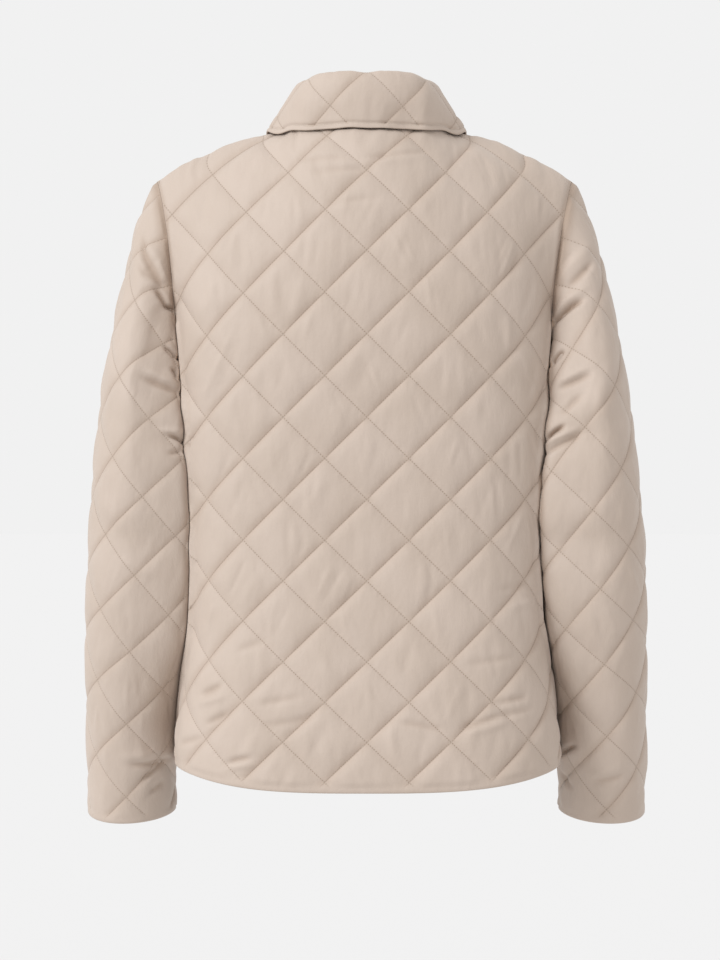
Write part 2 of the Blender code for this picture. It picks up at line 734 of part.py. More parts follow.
def button_places(top_grid, top_normals):
    """The point and the outward direction of each button, on the middle line of the lapped front."""
    middle = len(front_shares()) - 2
    levels = body_levels()
    for level in BUTTON_LEVELS:
        place = np.array([np.interp(level, levels, top_grid[:, middle, axis]) for axis in range(3)])
        normal = np.array([np.interp(level, levels, top_normals[:, middle, axis]) for axis in range(3)])
        yield place, unit(normal)


def clear_scene():
    for thing in list(bpy.data.objects):
        bpy.data.objects.remove(thing, do_unlink=True)


def make_panels():
    """Back, fronts and sleeves, with one wall direction along each seam."""
    back, front, sleeve = back_grid(), front_grid(), sleeve_grid()
    back_out = grid_normals(back, closed=False, flip=False)
    front_out = grid_normals(front, closed=False, flip=True)
    sleeve_out = grid_normals(sleeve, closed=True, flip=False)
    side = slice(0, SIDE_CELLS + ARMHOLE_CELLS + 1)
    neck_and_shoulder = slice(None)
    sewn_body = {"start": side, "top": neck_and_shoulder}
    turned = np.array((-1.0, 1.0, 1.0))
    panels = [
        Panel("back", back, back_out, {"start": side, "end": side, "top": neck_and_shoulder}),
        Panel("front_left", front, front_out, sewn_body),
        Panel("front_right", mirrored(front), front_out * turned, sewn_body),
        Panel("sleeve_left", sleeve, sleeve_out, {"hem": slice(None)}, closed=True),
        Panel("sleeve_right", mirrored(sleeve), sleeve_out * turned, {"hem": slice(None)}, closed=True),
    ]
    share_seam_directions(panels)
    return panels


def main():
    clear_scene()
    cloth = make_material("quilted_cloth", CLOTH_COLOUR, CLOTH_ROUGHNESS)
    plastic = make_material("button_plastic", BUTTON_COLOUR, BUTTON_ROUGHNESS)
    panels = make_panels()
    over = next(panel for panel in panels if panel.name == "front_right")
    over.grid = lapped_grid(over.grid, over.normals)
    for panel in panels:
        add_panel(panel, cloth)
    add_collar(panels[:3], cloth)
    for number, (place, normal) in enumerate(button_places(over.grid, over.normals), start=1):
        add_button(f"button_{number}", place, normal, plastic)


main()
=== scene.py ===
"""The looks of the quilted jacket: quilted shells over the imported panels, their stitches, collar and buttons.

Z is up, the back faces +Y and the wearer's left is +X. Sizes are in metres. The panels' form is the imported
model's, with small moves to the photo's outline. Each cloth panel is a fine grid on that form, lifted by the
wadding between the quilting lines.
"""

import math

import bpy
import numpy as np
from mathutils import Matrix, Vector
from mathutils.bvhtree import BVHTree


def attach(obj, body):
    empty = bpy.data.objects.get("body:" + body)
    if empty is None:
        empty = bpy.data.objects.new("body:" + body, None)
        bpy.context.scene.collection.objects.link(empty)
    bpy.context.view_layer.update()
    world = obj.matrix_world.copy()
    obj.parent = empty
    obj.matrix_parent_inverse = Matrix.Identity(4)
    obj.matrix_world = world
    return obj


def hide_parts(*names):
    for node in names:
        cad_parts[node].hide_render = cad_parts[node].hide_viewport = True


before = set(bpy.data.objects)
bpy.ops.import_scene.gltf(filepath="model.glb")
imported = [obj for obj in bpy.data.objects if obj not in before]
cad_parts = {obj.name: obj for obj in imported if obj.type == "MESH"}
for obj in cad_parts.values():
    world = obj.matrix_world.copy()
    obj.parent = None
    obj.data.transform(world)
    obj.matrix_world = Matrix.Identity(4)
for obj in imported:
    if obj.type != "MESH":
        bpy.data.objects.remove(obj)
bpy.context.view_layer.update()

# The cloth: shell, light wadding and inner face, quilted together.
WALL = 0.004
SEAM_GAP = 0.0003
UP = np.array((0.0, 0.0, 1.0))
MIRROR = np.array((-1.0, 1.0, 1.0))

# The hem, seen from behind: level at the middle and a little higher at the side seams.
HEM_CENTRE_Z = -0.6437
HEM_SIDE_RISE = 0.0177
HEM_RISE_POWER = 3.2
UNDERARM_Z = -0.255

# The body between hem and underarm. half_width is at the side seam, back and front are the depths in Y.
BODY_SQUARENESS = {"back": 2.75, "front": 2.25}
SECTION_PARTS = 180
BODY_COLUMNS = ("place", "height", "half_width", "back", "front", "side_y")
BODY_ROWS = (
    ("hem", -0.645, 0.1935, 0.122, 0.118, 0.016),
    ("low_hip", -0.600, 0.1915, 0.121, 0.119, 0.016),
    ("hip", -0.545, 0.1840, 0.117, 0.119, 0.016),
    ("high_hip", -0.508, 0.1782, 0.114, 0.120, 0.016),
    ("waist", -0.465, 0.1755, 0.112, 0.122, 0.015),
    ("ribs", -0.400, 0.1750, 0.110, 0.127, 0.012),
    ("bust", -0.310, 0.1762, 0.112, 0.134, 0.006),
    ("underarm", -0.255, 0.1788, 0.114, 0.134, 0.002),
)

# The top edge of each panel: along the shoulder seam from tip to neck, then round the neck to the middle.
SHOULDER_TIP = (0.2085, -0.004, -0.0460)
NECK_SIDE = (0.078, 0.010, 0.004)
SHOULDER_CROWN = 0.008
BACK_NECK = {"depth_y": 0.058, "drop": 0.007, "drop_power": 1.0, "shoulder_share": 0.60}
FRONT_NECK = {"depth_y": -0.072, "drop": 0.082, "drop_power": 1.6, "shoulder_share": 0.55}

# Above the underarm each column of cloth is one curve, from its foot at the underarm level to the top edge.
# rise is how it leaves its foot, at the armhole and elsewhere. The shoulder points bend it to the top edge.
RISE = {
    "back": {"armhole": (0.003, 0.052, 0.042), "inside": (0.000, 0.004, 0.100)},
    "front": {"armhole": (0.003, -0.050, 0.040), "inside": (0.000, -0.001, 0.080)},
}
ARMHOLE_PULL_POWER = 4
SHOULDER_COLUMNS = ("place", "share", "x", "y", "z")
SHOULDER_ROWS = {
    "back": (
        ("tip", 0.0, 0.193, 0.058, -0.080),
        ("shoulder", 0.3, 0.141, 0.079, -0.050),
        ("neck_side", 0.6, 0.085, 0.097, -0.033),
        ("nape_side", 0.8, 0.044, 0.107, -0.042),
        ("nape", 1.0, 0.000, 0.110, -0.048),
    ),
    "front": (
        ("tip", 0.0, 0.190, -0.060, -0.084),
        ("shoulder", 0.28, 0.140, -0.073, -0.058),
        ("neck_side", 0.55, 0.083, -0.083, -0.051),
        ("throat_side", 0.78, 0.044, -0.094, -0.085),
        ("throat", 1.0, 0.000, -0.102, -0.116),
    ),
}

# The front closing: the right front laps over the left one.
LAP_REACH = 0.015
LAP_FULL_FROM = 0.018
LAP_RISES_FROM = 0.045
LAP_GAP = 0.0007
FRONT_ARC = 0.250

# The sleeve's rings, from the armhole to the cuff. outer and inner are the ring's outermost and innermost
# points, tilt is how far its back hangs below its middle, and press is how flat it lies along the body.
SLEEVE_COLUMNS = ("place", "run", "outer_x", "outer_z", "inner_x", "inner_z")
SLEEVE_COLUMNS += ("half_depth", "centre_y", "tilt", "press")
SLEEVE_ROWS = (
    ("armhole", 0.00, 0.2085, -0.046, 0.1788, -0.255, 0.058, 0.002, 0.00, 0.0),
    ("cap", 0.09, 0.2300, -0.094, 0.1840, -0.275, 0.062, 0.007, 0.00, 0.7),
    ("upper", 0.20, 0.2450, -0.154, 0.1845, -0.300, 0.065, 0.011, 0.00, 1.0),
    ("bicep", 0.32, 0.2580, -0.222, 0.1850, -0.332, 0.066, 0.014, 0.00, 1.0),
    ("above_elbow", 0.44, 0.2680, -0.290, 0.1820, -0.368, 0.064, 0.016, 0.00, 1.0),
    ("elbow", 0.60, 0.2778, -0.392, 0.1790, -0.430, 0.059, 0.013, 0.04, 1.0),
    ("below_elbow", 0.72, 0.2812, -0.470, 0.1805, -0.492, 0.056, 0.003, 0.10, 0.8),
    ("forearm", 0.84, 0.2830, -0.554, 0.1905, -0.560, 0.053, -0.016, 0.15, 0.2),
    ("low", 0.93, 0.2840, -0.624, 0.1965, -0.624, 0.050, -0.034, 0.18, 0.0),
    ("cuff", 1.00, 0.2845, -0.684, 0.1975, -0.681, 0.0475, -0.047, 0.18, 0.0),
)
SLEEVE_CLEARANCE = 0.0030
PRESS_SHARPNESS = 1.3
ARMHOLE_FADE_RUN = 0.34

# Small moves of the cloth sideways, outward positive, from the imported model's form to the photo's outline.
# seam is beside the line where sleeve and body meet, and outer is the sleeve's outer side.
OUTLINE_COLUMNS = ("height", "left_seam", "left_outer", "right_seam", "right_outer")
OUTLINE_ROWS = (
    (-0.690, -0.0030, 0.0000, -0.0010, 0.0000),
    (-0.607, -0.0035, 0.0000, -0.0015, 0.0000),
    (-0.547, -0.0035, 0.0000, -0.0025, -0.0005),
    (-0.487, -0.0025, 0.0000, -0.0020, -0.0010),
    (-0.447, 0.0010, -0.0010, -0.0010, -0.0015),
    (-0.407, 0.0035, -0.0020, -0.0010, -0.0020),
    (-0.367, 0.0080, -0.0020, 0.0030, -0.0030),
    (-0.327, 0.0100, -0.0020, 0.0050, -0.0030),
    (-0.287, 0.0105, -0.0010, 0.0065, -0.0035),
    (-0.247, 0.0090, -0.0010, 0.0045, -0.0035),
    (-0.207, 0.0045, -0.0010, -0.0005, -0.0035),
    (-0.167, 0.0040, -0.0010, -0.0025, -0.0030),
    (-0.107, 0.0030, 0.0000, -0.0020, -0.0030),
    (-0.066, 0.0030, 0.0030, -0.0010, -0.0015),
    (-0.030, 0.0025, 0.0025, -0.0010, -0.0010),
    (0.010, 0.0000, 0.0000, 0.0000, 0.0000),
)
OUTLINE_REACH = {"starts": 0.090, "seam": 0.175, "leaves": 0.185, "outer": 0.250}

# Large soft folds. turn goes round the sleeve from the underarm over the back, run goes down it.
FOLDS_START_RUN = 0.12
SLEEVE_GIRTH = 0.345
SLEEVE_LENGTH = 0.600
FOLD_COLUMNS = ("place", "turn", "run", "lean_deg", "half_length", "half_width", "depth")
SLEEVE_FOLDS = (
    ("under_the_arm", 0.13, 0.22, 35, 0.070, 0.020, -0.0035),
    ("armhole_drag", 0.22, 0.36, 30, 0.075, 0.022, -0.0030),
    ("elbow_back", 0.20, 0.58, 12, 0.060, 0.020, -0.0030),
    ("elbow_front", 0.78, 0.60, -15, 0.070, 0.024, -0.0040),
    ("bicep_front", 0.86, 0.34, -30, 0.070, 0.022, -0.0035),
    ("above_cuff", 0.16, 0.88, 8, 0.045, 0.018, -0.0025),
)

# The collar at five places from the middle of the back to the middle of the front.
COLLAR_COLUMNS = ("place", "share", "roll_x", "roll_y", "roll_z", "edge_x", "edge_y", "edge_z")
COLLAR_ROWS = (
    ("back", 0.0, 0.000, 0.058, 0.0520, 0.000, 0.089, -0.0028),
    ("back_corner", 0.5, 0.046, 0.045, 0.0510, 0.062, 0.076, -0.0052),
    ("side", 1.0, 0.0655, 0.005, 0.0400, 0.0935, 0.018, -0.0050),
    ("chest_corner", 1.5, 0.049, -0.042, -0.0020, 0.095, -0.062, -0.0500),
    ("front", 2.0, 0.0030, -0.068, -0.0500, 0.046, -0.116, -0.1280),
)
COLLAR_ROLL_RADIUS = 0.0045
COLLAR_ROLL_ANGLE = math.radians(145)
COLLAR_BEND_IN = 0.003
COLLAR_BEND_UP = 0.006
COLLAR_FALL_PARTS = (0.25, 0.5, 0.75, 1.0)
COLLAR_FALL_CROWN = 0.003
COLLAR_SEAM_GAP = 0.0002

# The front buttons, on the middle line of the right front. levels are panel levels, hem 0 to neck 2.
BUTTON_RADIUS = 0.0090
BUTTON_THICKNESS = 0.0030
BUTTON_DISH = 0.0008
BUTTON_GAP = 0.0005
BUTTON_LEVELS = (0.20, 0.47, 0.74, 1.04, 1.42)
BUTTON_SIDES = 48
# From the underside round to the dished face, each point as shares of the radius, the thickness and the dish.
BUTTON_PROFILE = (
    (0.0, 0.0, 0.0),
    (0.90, 0.0, 0.0),
    (0.97, 0.12, 0.0),
    (1.0, 0.40, 0.0),
    (0.985, 0.72, 0.0),
    (0.94, 0.93, 0.0),
    (0.86, 1.0, 0.0),
    (0.76, 0.95, 0.0),
    (0.68, 1.0, 0.8),
    (0.58, 1.0, 1.0),
    (0.0, 1.0, 1.0),
)

# How fine the shells are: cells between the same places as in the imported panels.
SHOULDER_CELLS = 60
BACK_NECK_CELLS = 42
FRONT_NECK_CELLS = 46
LAP_CELLS = 6
SIDE_CELLS = 164
ARMHOLE_CELLS = 100
SLEEVE_CELLS = 330
COLLAR_CELLS = 54
COLLAR_FINE_ROWS = 240
COLLAR_ROLL_PARTS = 4
COLLAR_EDGE_ROWS = (0.0, 0.0012, 0.0024, 0.0035, 0.0045, 0.0055, 0.0067, 0.0082)
COLLAR_FALL_FROM = 0.44
INNER_STEP = 2
EDGE_ROWS = 3
EDGE_BULGE = 0.85

# The quilting: diamonds on a lattice in the flat pattern. across and down are the diamond's diagonals.
# One family of lines is where x / across + y / down is whole, and one where their difference is.
QUILT_BODY = {"across": 0.0805, "down": 0.0792, "start_z": -0.2869, "droop": 0.0053}
QUILT_SLEEVE = {"across": 0.0730, "down": 0.0778, "start": {"left": 0.0270, "right": 0.0136}}
SLEEVE_LEANS = (
    {"shift": 0.0110, "from_y": 0.20, "to_y": 0.40},
    {"shift": 0.0160, "from_y": 0.53, "to_y": 0.62},
)
SLEEVE_CLIMB = {"left": 0.0, "right": 0.0090, "from_y": 0.28, "to_y": 0.56}
SLEEVE_AXIS_PASSES = 60
QUILT_COLLAR = {"across": 0.0730, "down": 0.0760}
COLLAR_CROSSING_Z = 0.0178
COLLAR_EDGE_THIN = {"wall": 0.0016, "reach": 0.012}
COLLAR_PATTERN_ROW = 0.72
COLLAR_EDGE_PLAIN = (0.0020, 0.0046)
LINE_SPACING = 0.0550

# The wadding's lift between the lines, and the cloth's small crinkles in each diamond.
PUFF_HEIGHT = 0.0036
PUFF_SINK = 0.0011
PUFF_POWERS = {"falling": 3.6, "above_rising": 3.6, "below_rising": 6.0}
PUFF_PEAK = 0.42
FALLING_LINES_DEPTH = 0.82
FIRST_SEED = 11
COLLAR_SEED = 31
COLLAR_PUFF = 0.55
SLEEVE_PUFF = 0.68
INNER_PUFF = 0.35
CRINKLES = {
    "count": 6,
    "depth": 0.0009,
    "width": 0.0040,
    "width_varies": 0.45,
    "length": 0.018,
    "lean": 0.5,
    "spread": 0.024,
    "repeat": 64,
}

# The edges. At a seam the cloth dives in, and a free edge is turned, flat and round.
SEAM_DIVE = 0.0012
SEAM_REACH = 0.007
SEAM_PLAIN = 0.002
SEAM_THICKNESS = 0.0022
SEAM_TURN_REACH = 0.012
SHELL_THICKNESS = 0.0036
WALL_SMOOTHING = 6
EDGE_FLAT = 0.0006
EDGE_PLAIN = (0.003, 0.009)
EDGE_GROOVE = {"inset": 0.0045, "width": 0.0011, "depth": 0.0009}
SHARP_ANGLE = math.radians(60)
POINTS_PER_METRE = 1e5

# Where pieces lie on each other. fill lifts the cloth of the groove between sleeve and body until it is
# nearly closed, notch leaves the quilting lines lower there, shade is painted shade on the cloth beside the
# groove, and inside it a lighter colour is painted light, where little light gets in.
CONTACT_GAP = 0.0002
CONTACT_RANGE = 0.015
CONTACT_FILL = {"left": 0.0002, "right": 0.0006, "fades_from": 0.007, "facing": (0.48, 0.78)}
CONTACT_SHADE = {"sleeve": (0.014, 0.75), "body": (0.006, 0.50)}
CONTACT_NOTCH = {"left": 0.0, "right": 0.0018}
CONTACT_PAINTED_LIGHT = {"apart": (0.002, 0.007), "facing": (0.30, 0.60)}
CONTACT_SHARES = {"body": 0.72, "sleeve": 0.28}
LAP_PRESS = 0.6
PRESS_FROM = 0.032
PRESS_RISE = 0.010
UNDERLAP_FROM = 0.018
UNDERLAP_LIFT = 0.0002

# Between neck and shoulder the columns are evened out sideways, from one panel level to another.
NECK_EVENING = {"passes": 90, "levels": (1.25, 1.55, 1.86, 1.97), "edge_columns": 24}

# The collar, settled on the puffed cloth.
NECK_SMOOTHING = 10
COLLAR_STANDS_OFF = {"puffed": 0.0030, "edge": 0.0013, "rises_over": 0.012}
COLLAR_DROP_COLUMNS = ("passes", "from", "feels_from", "row_step", "columns", "evening", "share")
COLLAR_DROPS = (
    (8, 0.10, 0.45, 3, 10, 80, 0.8),
    (5, 0.45, 0.90, 1, 5, 30, 0.7),
)
COLLAR_UPRIGHT = {"from": 0.6, "over": 0.3}
SETTLING_PASSES = 5
SETTLING_SPREAD = 6
COLLAR_NORMAL_PASSES = 3

# Small folds and troughs in each panel's flat pattern.
SMALL_FOLD_COLUMNS = ("place", "x", "y", "lean_deg", "half_length", "half_width", "depth", "bend")
SMALL_FOLDS = {
    "back": (
        ("nape_left", -0.0416, 0.2543, 2, 0.0226, 0.0031, -0.0014, 0.1),
        ("nape_low", -0.0247, 0.2410, 4, 0.0254, 0.0036, -0.0014, 0.1),
        ("nape_right", 0.0320, 0.2582, 9, 0.0300, 0.0034, -0.0014, 0.1),
        ("nape_ridge", 0.0132, 0.2497, 5, 0.0324, 0.0043, 0.0009, 0.1),
        ("nape_third", -0.0099, 0.2089, 7, 0.0229, 0.0034, -0.0010, 0.1),
        ("shoulder_blade", -0.1444, 0.0537, 63, 0.0328, 0.0026, 0.0012, 0.05),
        ("shoulder_trough", -0.1355, 0.0458, 64, 0.0303, 0.0034, -0.0006, 0.05),
        ("shoulder_outer", -0.1652, 0.0612, 58, 0.0209, 0.0026, 0.0009, 0.0),
        ("shoulder_top", -0.1323, 0.1585, 84, 0.0241, 0.0030, 0.0007, 0.0),
        ("blade_right", 0.1329, 0.1575, 71, 0.0199, 0.0030, -0.0008, 0.0),
        ("blade_right_ridge", 0.1398, 0.1533, 68, 0.0197, 0.0028, 0.0009, 0.0),
        ("rib_right", 0.1487, 0.1531, 62, 0.0101, 0.0026, -0.0012, 0.0),
        ("waist_right", 0.1496, -0.1627, 10, 0.0213, 0.0034, -0.0010, 0.1),
        ("hip_right", 0.1618, -0.1791, 12, 0.0200, 0.0034, 0.0012, 0.1),
        ("low_left", -0.1539, -0.2633, 24, 0.0129, 0.0034, -0.0025, 0.15),
        ("low_left_ridge", -0.1539, -0.2729, 16, 0.0163, 0.0038, 0.0016, 0.1),
        ("low_left_second", -0.1478, -0.2902, 26, 0.0130, 0.0034, -0.0021, 0.1),
        ("hem_left", -0.1229, -0.3278, 15, 0.0121, 0.0031, -0.0027, -0.3),
        ("hem_left_ridge", -0.1234, -0.3345, 8, 0.0147, 0.0031, 0.0013, -0.2),
        ("hem_outer", -0.1826, -0.3136, 15, 0.0181, 0.0034, -0.0018, 0.1),
        ("low_middle", -0.0822, -0.2708, 11, 0.0206, 0.0038, -0.0015, 0.1),
        ("low_middle_second", -0.0734, -0.2911, 11, 0.0237, 0.0038, -0.0014, 0.1),
        ("low_right_middle", 0.0516, -0.2942, -11, 0.0203, 0.0034, -0.0018, -0.1),
        ("low_right", 0.1121, -0.2913, 16, 0.0196, 0.0034, -0.0023, 0.1),
        ("low_right_ridge", 0.1171, -0.2972, 14, 0.0208, 0.0038, 0.0014, 0.1),
        ("side_right", 0.1418, -0.2719, 9, 0.0162, 0.0034, -0.0021, 0.1),
        ("side_right_second", 0.1473, -0.2841, 9, 0.0179, 0.0034, -0.0016, 0.1),
        ("hip_left", -0.1121, -0.2194, 20, 0.0131, 0.0043, -0.0014, 0.0),
        ("mid_right", 0.1213, -0.2340, 6, 0.0244, 0.0038, -0.0012, 0.1),
    ),
    "front_left": (
        ("chest_drag", 0.1500, 0.0900, -62, 0.0260, 0.0038, -0.0019, 0.1),
        ("chest_ridge", 0.1420, 0.0980, -64, 0.0240, 0.0038, 0.0014, 0.1),
        ("waist_soft", 0.1350, -0.1500, -10, 0.0220, 0.0043, -0.0016, 0.1),
        ("hip_soft", 0.1500, -0.2550, -22, 0.0160, 0.0038, -0.0021, 0.1),
        ("hem_soft", 0.1100, -0.3000, -12, 0.0220, 0.0038, -0.0018, 0.1),
    ),
    "front_right": (
        ("chest_drag", -0.1460, 0.1000, 60, 0.0240, 0.0038, -0.0018, 0.1),
        ("chest_ridge", -0.1380, 0.1080, 62, 0.0220, 0.0038, 0.0013, 0.1),
        ("waist_soft", -0.1300, -0.1300, 12, 0.0240, 0.0043, -0.0015, 0.1),
        ("hip_soft", -0.1450, -0.2700, 20, 0.0170, 0.0038, -0.0023, 0.1),
        ("hem_soft", -0.1000, -0.3100, 8, 0.0200, 0.0038, -0.0018, 0.1),
    ),
    "sleeve_left": (
        ("cap_drag", -0.0258, 0.5745, -52, 0.0272, 0.0030, -0.0040, 0.25),
        ("cap_ridge", -0.0208, 0.5770, -46, 0.0234, 0.0038, 0.0014, 0.1),
        ("cap_under", -0.0193, 0.5598, -37, 0.0152, 0.0034, -0.0023, 0.2),
        ("cap_tuck", -0.0030, 0.5395, -48, 0.0097, 0.0026, -0.0048, 0.0),
        ("cap_pinch", 0.0095, 0.5340, 4, 0.0070, 0.0024, -0.0066, 0.0),
        ("arm_pinch", 0.0225, 0.4860, -26, 0.0085, 0.0024, -0.0056, 0.1),
        ("arm_tuck", 0.0300, 0.4655, -48, 0.0070, 0.0024, -0.0056, 0.0),
        ("arm_drag", 0.0202, 0.4505, -12, 0.0207, 0.0038, -0.0034, 0.25),
        ("arm_ridge", 0.0175, 0.4587, -14, 0.0175, 0.0038, 0.0018, 0.2),
        ("bicep_pinch", 0.0425, 0.3985, -8, 0.0110, 0.0030, -0.0046, 0.1),
        ("bicep_ridge", 0.0358, 0.4066, 12, 0.0143, 0.0038, 0.0016, 0.0),
        ("elbow_tuck", 0.0400, 0.3830, 17, 0.0080, 0.0028, -0.0024, 0.0),
        ("elbow_soft", 0.0031, 0.2687, -22, 0.0178, 0.0051, 0.0010, 0.0),
        ("forearm_soft", -0.0212, 0.3186, -52, 0.0194, 0.0051, 0.0010, 0.0),
        ("cuff_tuck", 0.0295, 0.0609, -3, 0.0255, 0.0034, -0.0030, 0.15),
        ("cuff_pinch", 0.0300, 0.0520, 28, 0.0140, 0.0027, -0.0036, 0.0),
        ("cuff_inner", 0.0330, 0.0340, 25, 0.0100, 0.0034, -0.0025, 0.0),
        ("cuff_ridge", 0.0192, 0.0720, 4, 0.0208, 0.0043, 0.0015, 0.1),
        ("front_drag", -0.2150, 0.4700, 24, 0.0220, 0.0038, -0.0032, 0.2),
        ("front_pinch", -0.2320, 0.4400, 15, 0.0100, 0.0029, -0.0040, 0.0),
        ("front_elbow", -0.2050, 0.3150, 12, 0.0240, 0.0041, -0.0030, 0.1),
        ("front_cuff", -0.1850, 0.0700, -14, 0.0200, 0.0038, -0.0027, 0.1),
    ),
    "sleeve_right": (
        ("cap_drag", 0.0168, 0.5604, 39, 0.0168, 0.0032, -0.0032, -0.1),
        ("cap_ridge", 0.0199, 0.5758, 38, 0.0228, 0.0047, 0.0019, 0.0),
        ("cap_second", 0.0080, 0.5720, 38, 0.0180, 0.0034, -0.0015, 0.0),
        ("deep_tuck", -0.0074, 0.5273, 22, 0.0172, 0.0031, -0.0057, 0.1),
        ("deep_ridge", -0.0030, 0.5370, 25, 0.0200, 0.0043, 0.0024, 0.1),
        ("arm_pinch", -0.0284, 0.4818, 36, 0.0095, 0.0026, -0.0068, 0.0),
        ("arm_drag", -0.0155, 0.4537, 15, 0.0159, 0.0038, -0.0029, 0.1),
        ("arm_ridge", -0.0141, 0.4607, 18, 0.0140, 0.0038, 0.0014, 0.1),
        ("elbow_drag", -0.0218, 0.4321, 36, 0.0126, 0.0034, -0.0023, 0.0),
        ("elbow_pinch", -0.0436, 0.4049, 27, 0.0125, 0.0030, -0.0058, 0.0),
        ("elbow_ridge", -0.0352, 0.3991, 22, 0.0163, 0.0038, 0.0019, 0.0),
        ("elbow_low", -0.0348, 0.3900, 25, 0.0216, 0.0031, -0.0027, 0.1),
        ("back_soft", 0.0093, 0.4167, -75, 0.0167, 0.0051, 0.0010, 0.0),
        ("cuff_tuck", -0.0474, 0.0713, 31, 0.0160, 0.0027, -0.0042, 0.0),
        ("cuff_soft", 0.0021, 0.0460, 11, 0.0149, 0.0038, -0.0023, 0.15),
        ("cuff_ridge", -0.0033, 0.0548, 15, 0.0138, 0.0043, 0.0012, 0.1),
        ("cuff_inner", -0.0499, 0.0373, -22, 0.0124, 0.0031, -0.0023, 0.0),
        ("front_drag", 0.2120, 0.4800, -26, 0.0200, 0.0038, -0.0030, 0.2),
        ("front_pinch", 0.2300, 0.4450, -18, 0.0110, 0.0029, -0.0042, 0.0),
        ("front_elbow", 0.2050, 0.3050, -10, 0.0230, 0.0041, -0.0032, 0.1),
        ("front_cuff", 0.1880, 0.0650, 12, 0.0190, 0.0038, -0.0027, 0.1),
    ),
}

# The stitches and the buttons.
STITCH_PITCH = 0.0025
STITCH_LENGTH = 0.00180
STITCH_WIDTH = 0.00052
STITCH_HEIGHT = 0.00026
STITCH_SINK = 0.00012
STITCH_END_GAP = 0.007
STITCH_FADE = 0.45
STITCH_TAPERS = (0.2, 0.8)
STITCH_SEARCH = 0.01
STITCH_MISS = 1e-3
EDGE_STITCH_INSET = 0.0045
BUTTON_HOLES = ((-0.0017, -0.0017), (0.0017, -0.0017), (-0.0017, 0.0017), (0.0017, 0.0017))
BUTTON_HOLE_RADIUS = 0.00085
BUTTON_HOLE_SIDES = 16
BUTTON_DRILL_LENGTH = 0.02
THREAD_RADIUS = 0.00028
THREAD_SIDES = 6
THREAD_ASIDE = np.array((0.31, 0.87, 0.39))
THREAD_DEPTHS = {"tail": 0.0012, "hole": 0.0002}
# In shares of the thread's radius: the strands' places, each bar's height over the face, and the bars' crown.
THREAD_STRANDS = (-1.3, 0.0, 1.3)
THREAD_BARS = (((0, 3), 0.9), ((1, 2), 1.4))
THREAD_CROWN = 0.6
THREAD_SPREAD = (0.6, 0.6, 0.9, 1, 0.9, 0.6, 0.6)

# The buttonholes in the right front, level and close to their buttons: two rows of close stitches, tacked at
# the ends.
BUTTONHOLE = {
    "starts": -0.0030,
    "ends": 0.0180,
    "slit": 0.0007,
    "stitch": 0.0017,
    "pitch": 0.0006,
    "tacks": 3,
}

# Colours and finishes.
CLOTH_FINISH = {
    "Roughness": 0.62,
    "Specular IOR Level": 0.35,
    "Sheen Weight": 0.20,
    "Sheen Roughness": 0.45,
    "Sheen Tint": (1.0, 0.97, 0.93, 1.0),
}
CLOTH_COLOURS = {
    "light": (0.510, 0.415, 0.349, 1.0),
    "dark": (0.482, 0.389, 0.322, 1.0),
    # painted shade beside the rising quilting lines
    "shade": (0.420, 0.320, 0.252, 1.0),
    # painted shade in deep folds and beside the groove between sleeve and body
    "fold": (0.330, 0.235, 0.172, 1.0),
    # painted light inside the groove between sleeve and body
    "painted_light": (0.780, 0.640, 0.530, 1.0),
    # painted shade right on the quilting lines and in their stitch holes
    "painted_crease_shade": (0.240, 0.158, 0.110, 1.0),
}
CLOTH_ROUGHNESS = (0.58, 0.68)
# Painted shade along the quilting lines: its width on the lines, its strength on each family and at the stitch
# holes, and the width and strength of a wider band of painted shade beside the rising lines.
LINE_PAINTED_SHADE = {
    "width": 0.0010,
    "rising": 0.55,
    "falling": 0.22,
    "holes": 0.90,
    "shade_width": 0.0080,
    "shade": 0.42,
}
# Where in each stitch's pitch the painted shade of its needle hole lies.
STITCH_HOLE_SHADE = {"from": 0.70, "to": 0.80}
# Painted shade in deep folds: the fold depth at which it is full, and its strength.
FOLD_SHADE = {"depth": 0.0050, "strength": 0.75}
CLOUD = {"scale": 14.0, "detail": 3.0, "colours": (0.3, 0.7), "roughness": (0.2, 0.8)}
PUCKER = {"period": 0.0055, "length": 0.012, "reach": 0.0085, "height_mm": 0.55}
WRINKLE = {"scale": 95.0, "detail": 3.0, "stretch": 0.45, "height_mm": 0.90}
WEAVE = {"pitch": 0.0006, "height_mm": 0.010, "slub_scale": 900.0, "slub_mm": 0.05}
THREAD_FINISH = {"Roughness": 0.5, "Specular IOR Level": 0.4, "Sheen Weight": 0.1}
THREAD_COLOURS = {"dark": (0.46, 0.39, 0.32, 1.0), "light": (0.56, 0.48, 0.40, 1.0)}
THREAD_NOISE = {"scale": 2500.0, "height_mm": 0.04}
PLASTIC_FINISH = {"Roughness": 0.36, "Specular IOR Level": 0.5}
PLASTIC_COLOURS = {"dark": (0.36, 0.29, 0.22, 1.0), "light": (0.48, 0.40, 0.32, 1.0)}
PLASTIC_STREAKS = {"scale": 220.0, "detail": 4.0, "stretch": 0.3, "colours": (0.35, 0.65)}
PLASTIC_POLISH = (0.3, 0.7)
PLASTIC_ROUGHNESS = (0.30, 0.42)
PLASTIC_GRAIN = {"scale": 1800.0, "height_mm": 0.008}

# The room: a pale floor under a pale even sky, with the key light from the upper left of the photo.
FLOOR_Z = -1.35
FLOOR_RADIUS = 40.0
FLOOR_SIDES = 96
FLOOR_COLOUR = (0.742, 0.730, 0.722, 1.0)
BACKGROUND = 0.88
KEY_LIGHT = {"energy": 2.15, "angle_deg": 24, "colour": (0.91, 0.96, 1.0), "towards": (0.66, 0.53, 0.50)}
CAMERA_LENS = 113.0
CAMERA_PLACE = (0.0065, 2.27, -0.347)


def column(columns, rows, name):
    """One named column of a table, as an array."""
    at = columns.index(name)
    return np.array([row[at] for row in rows], float)


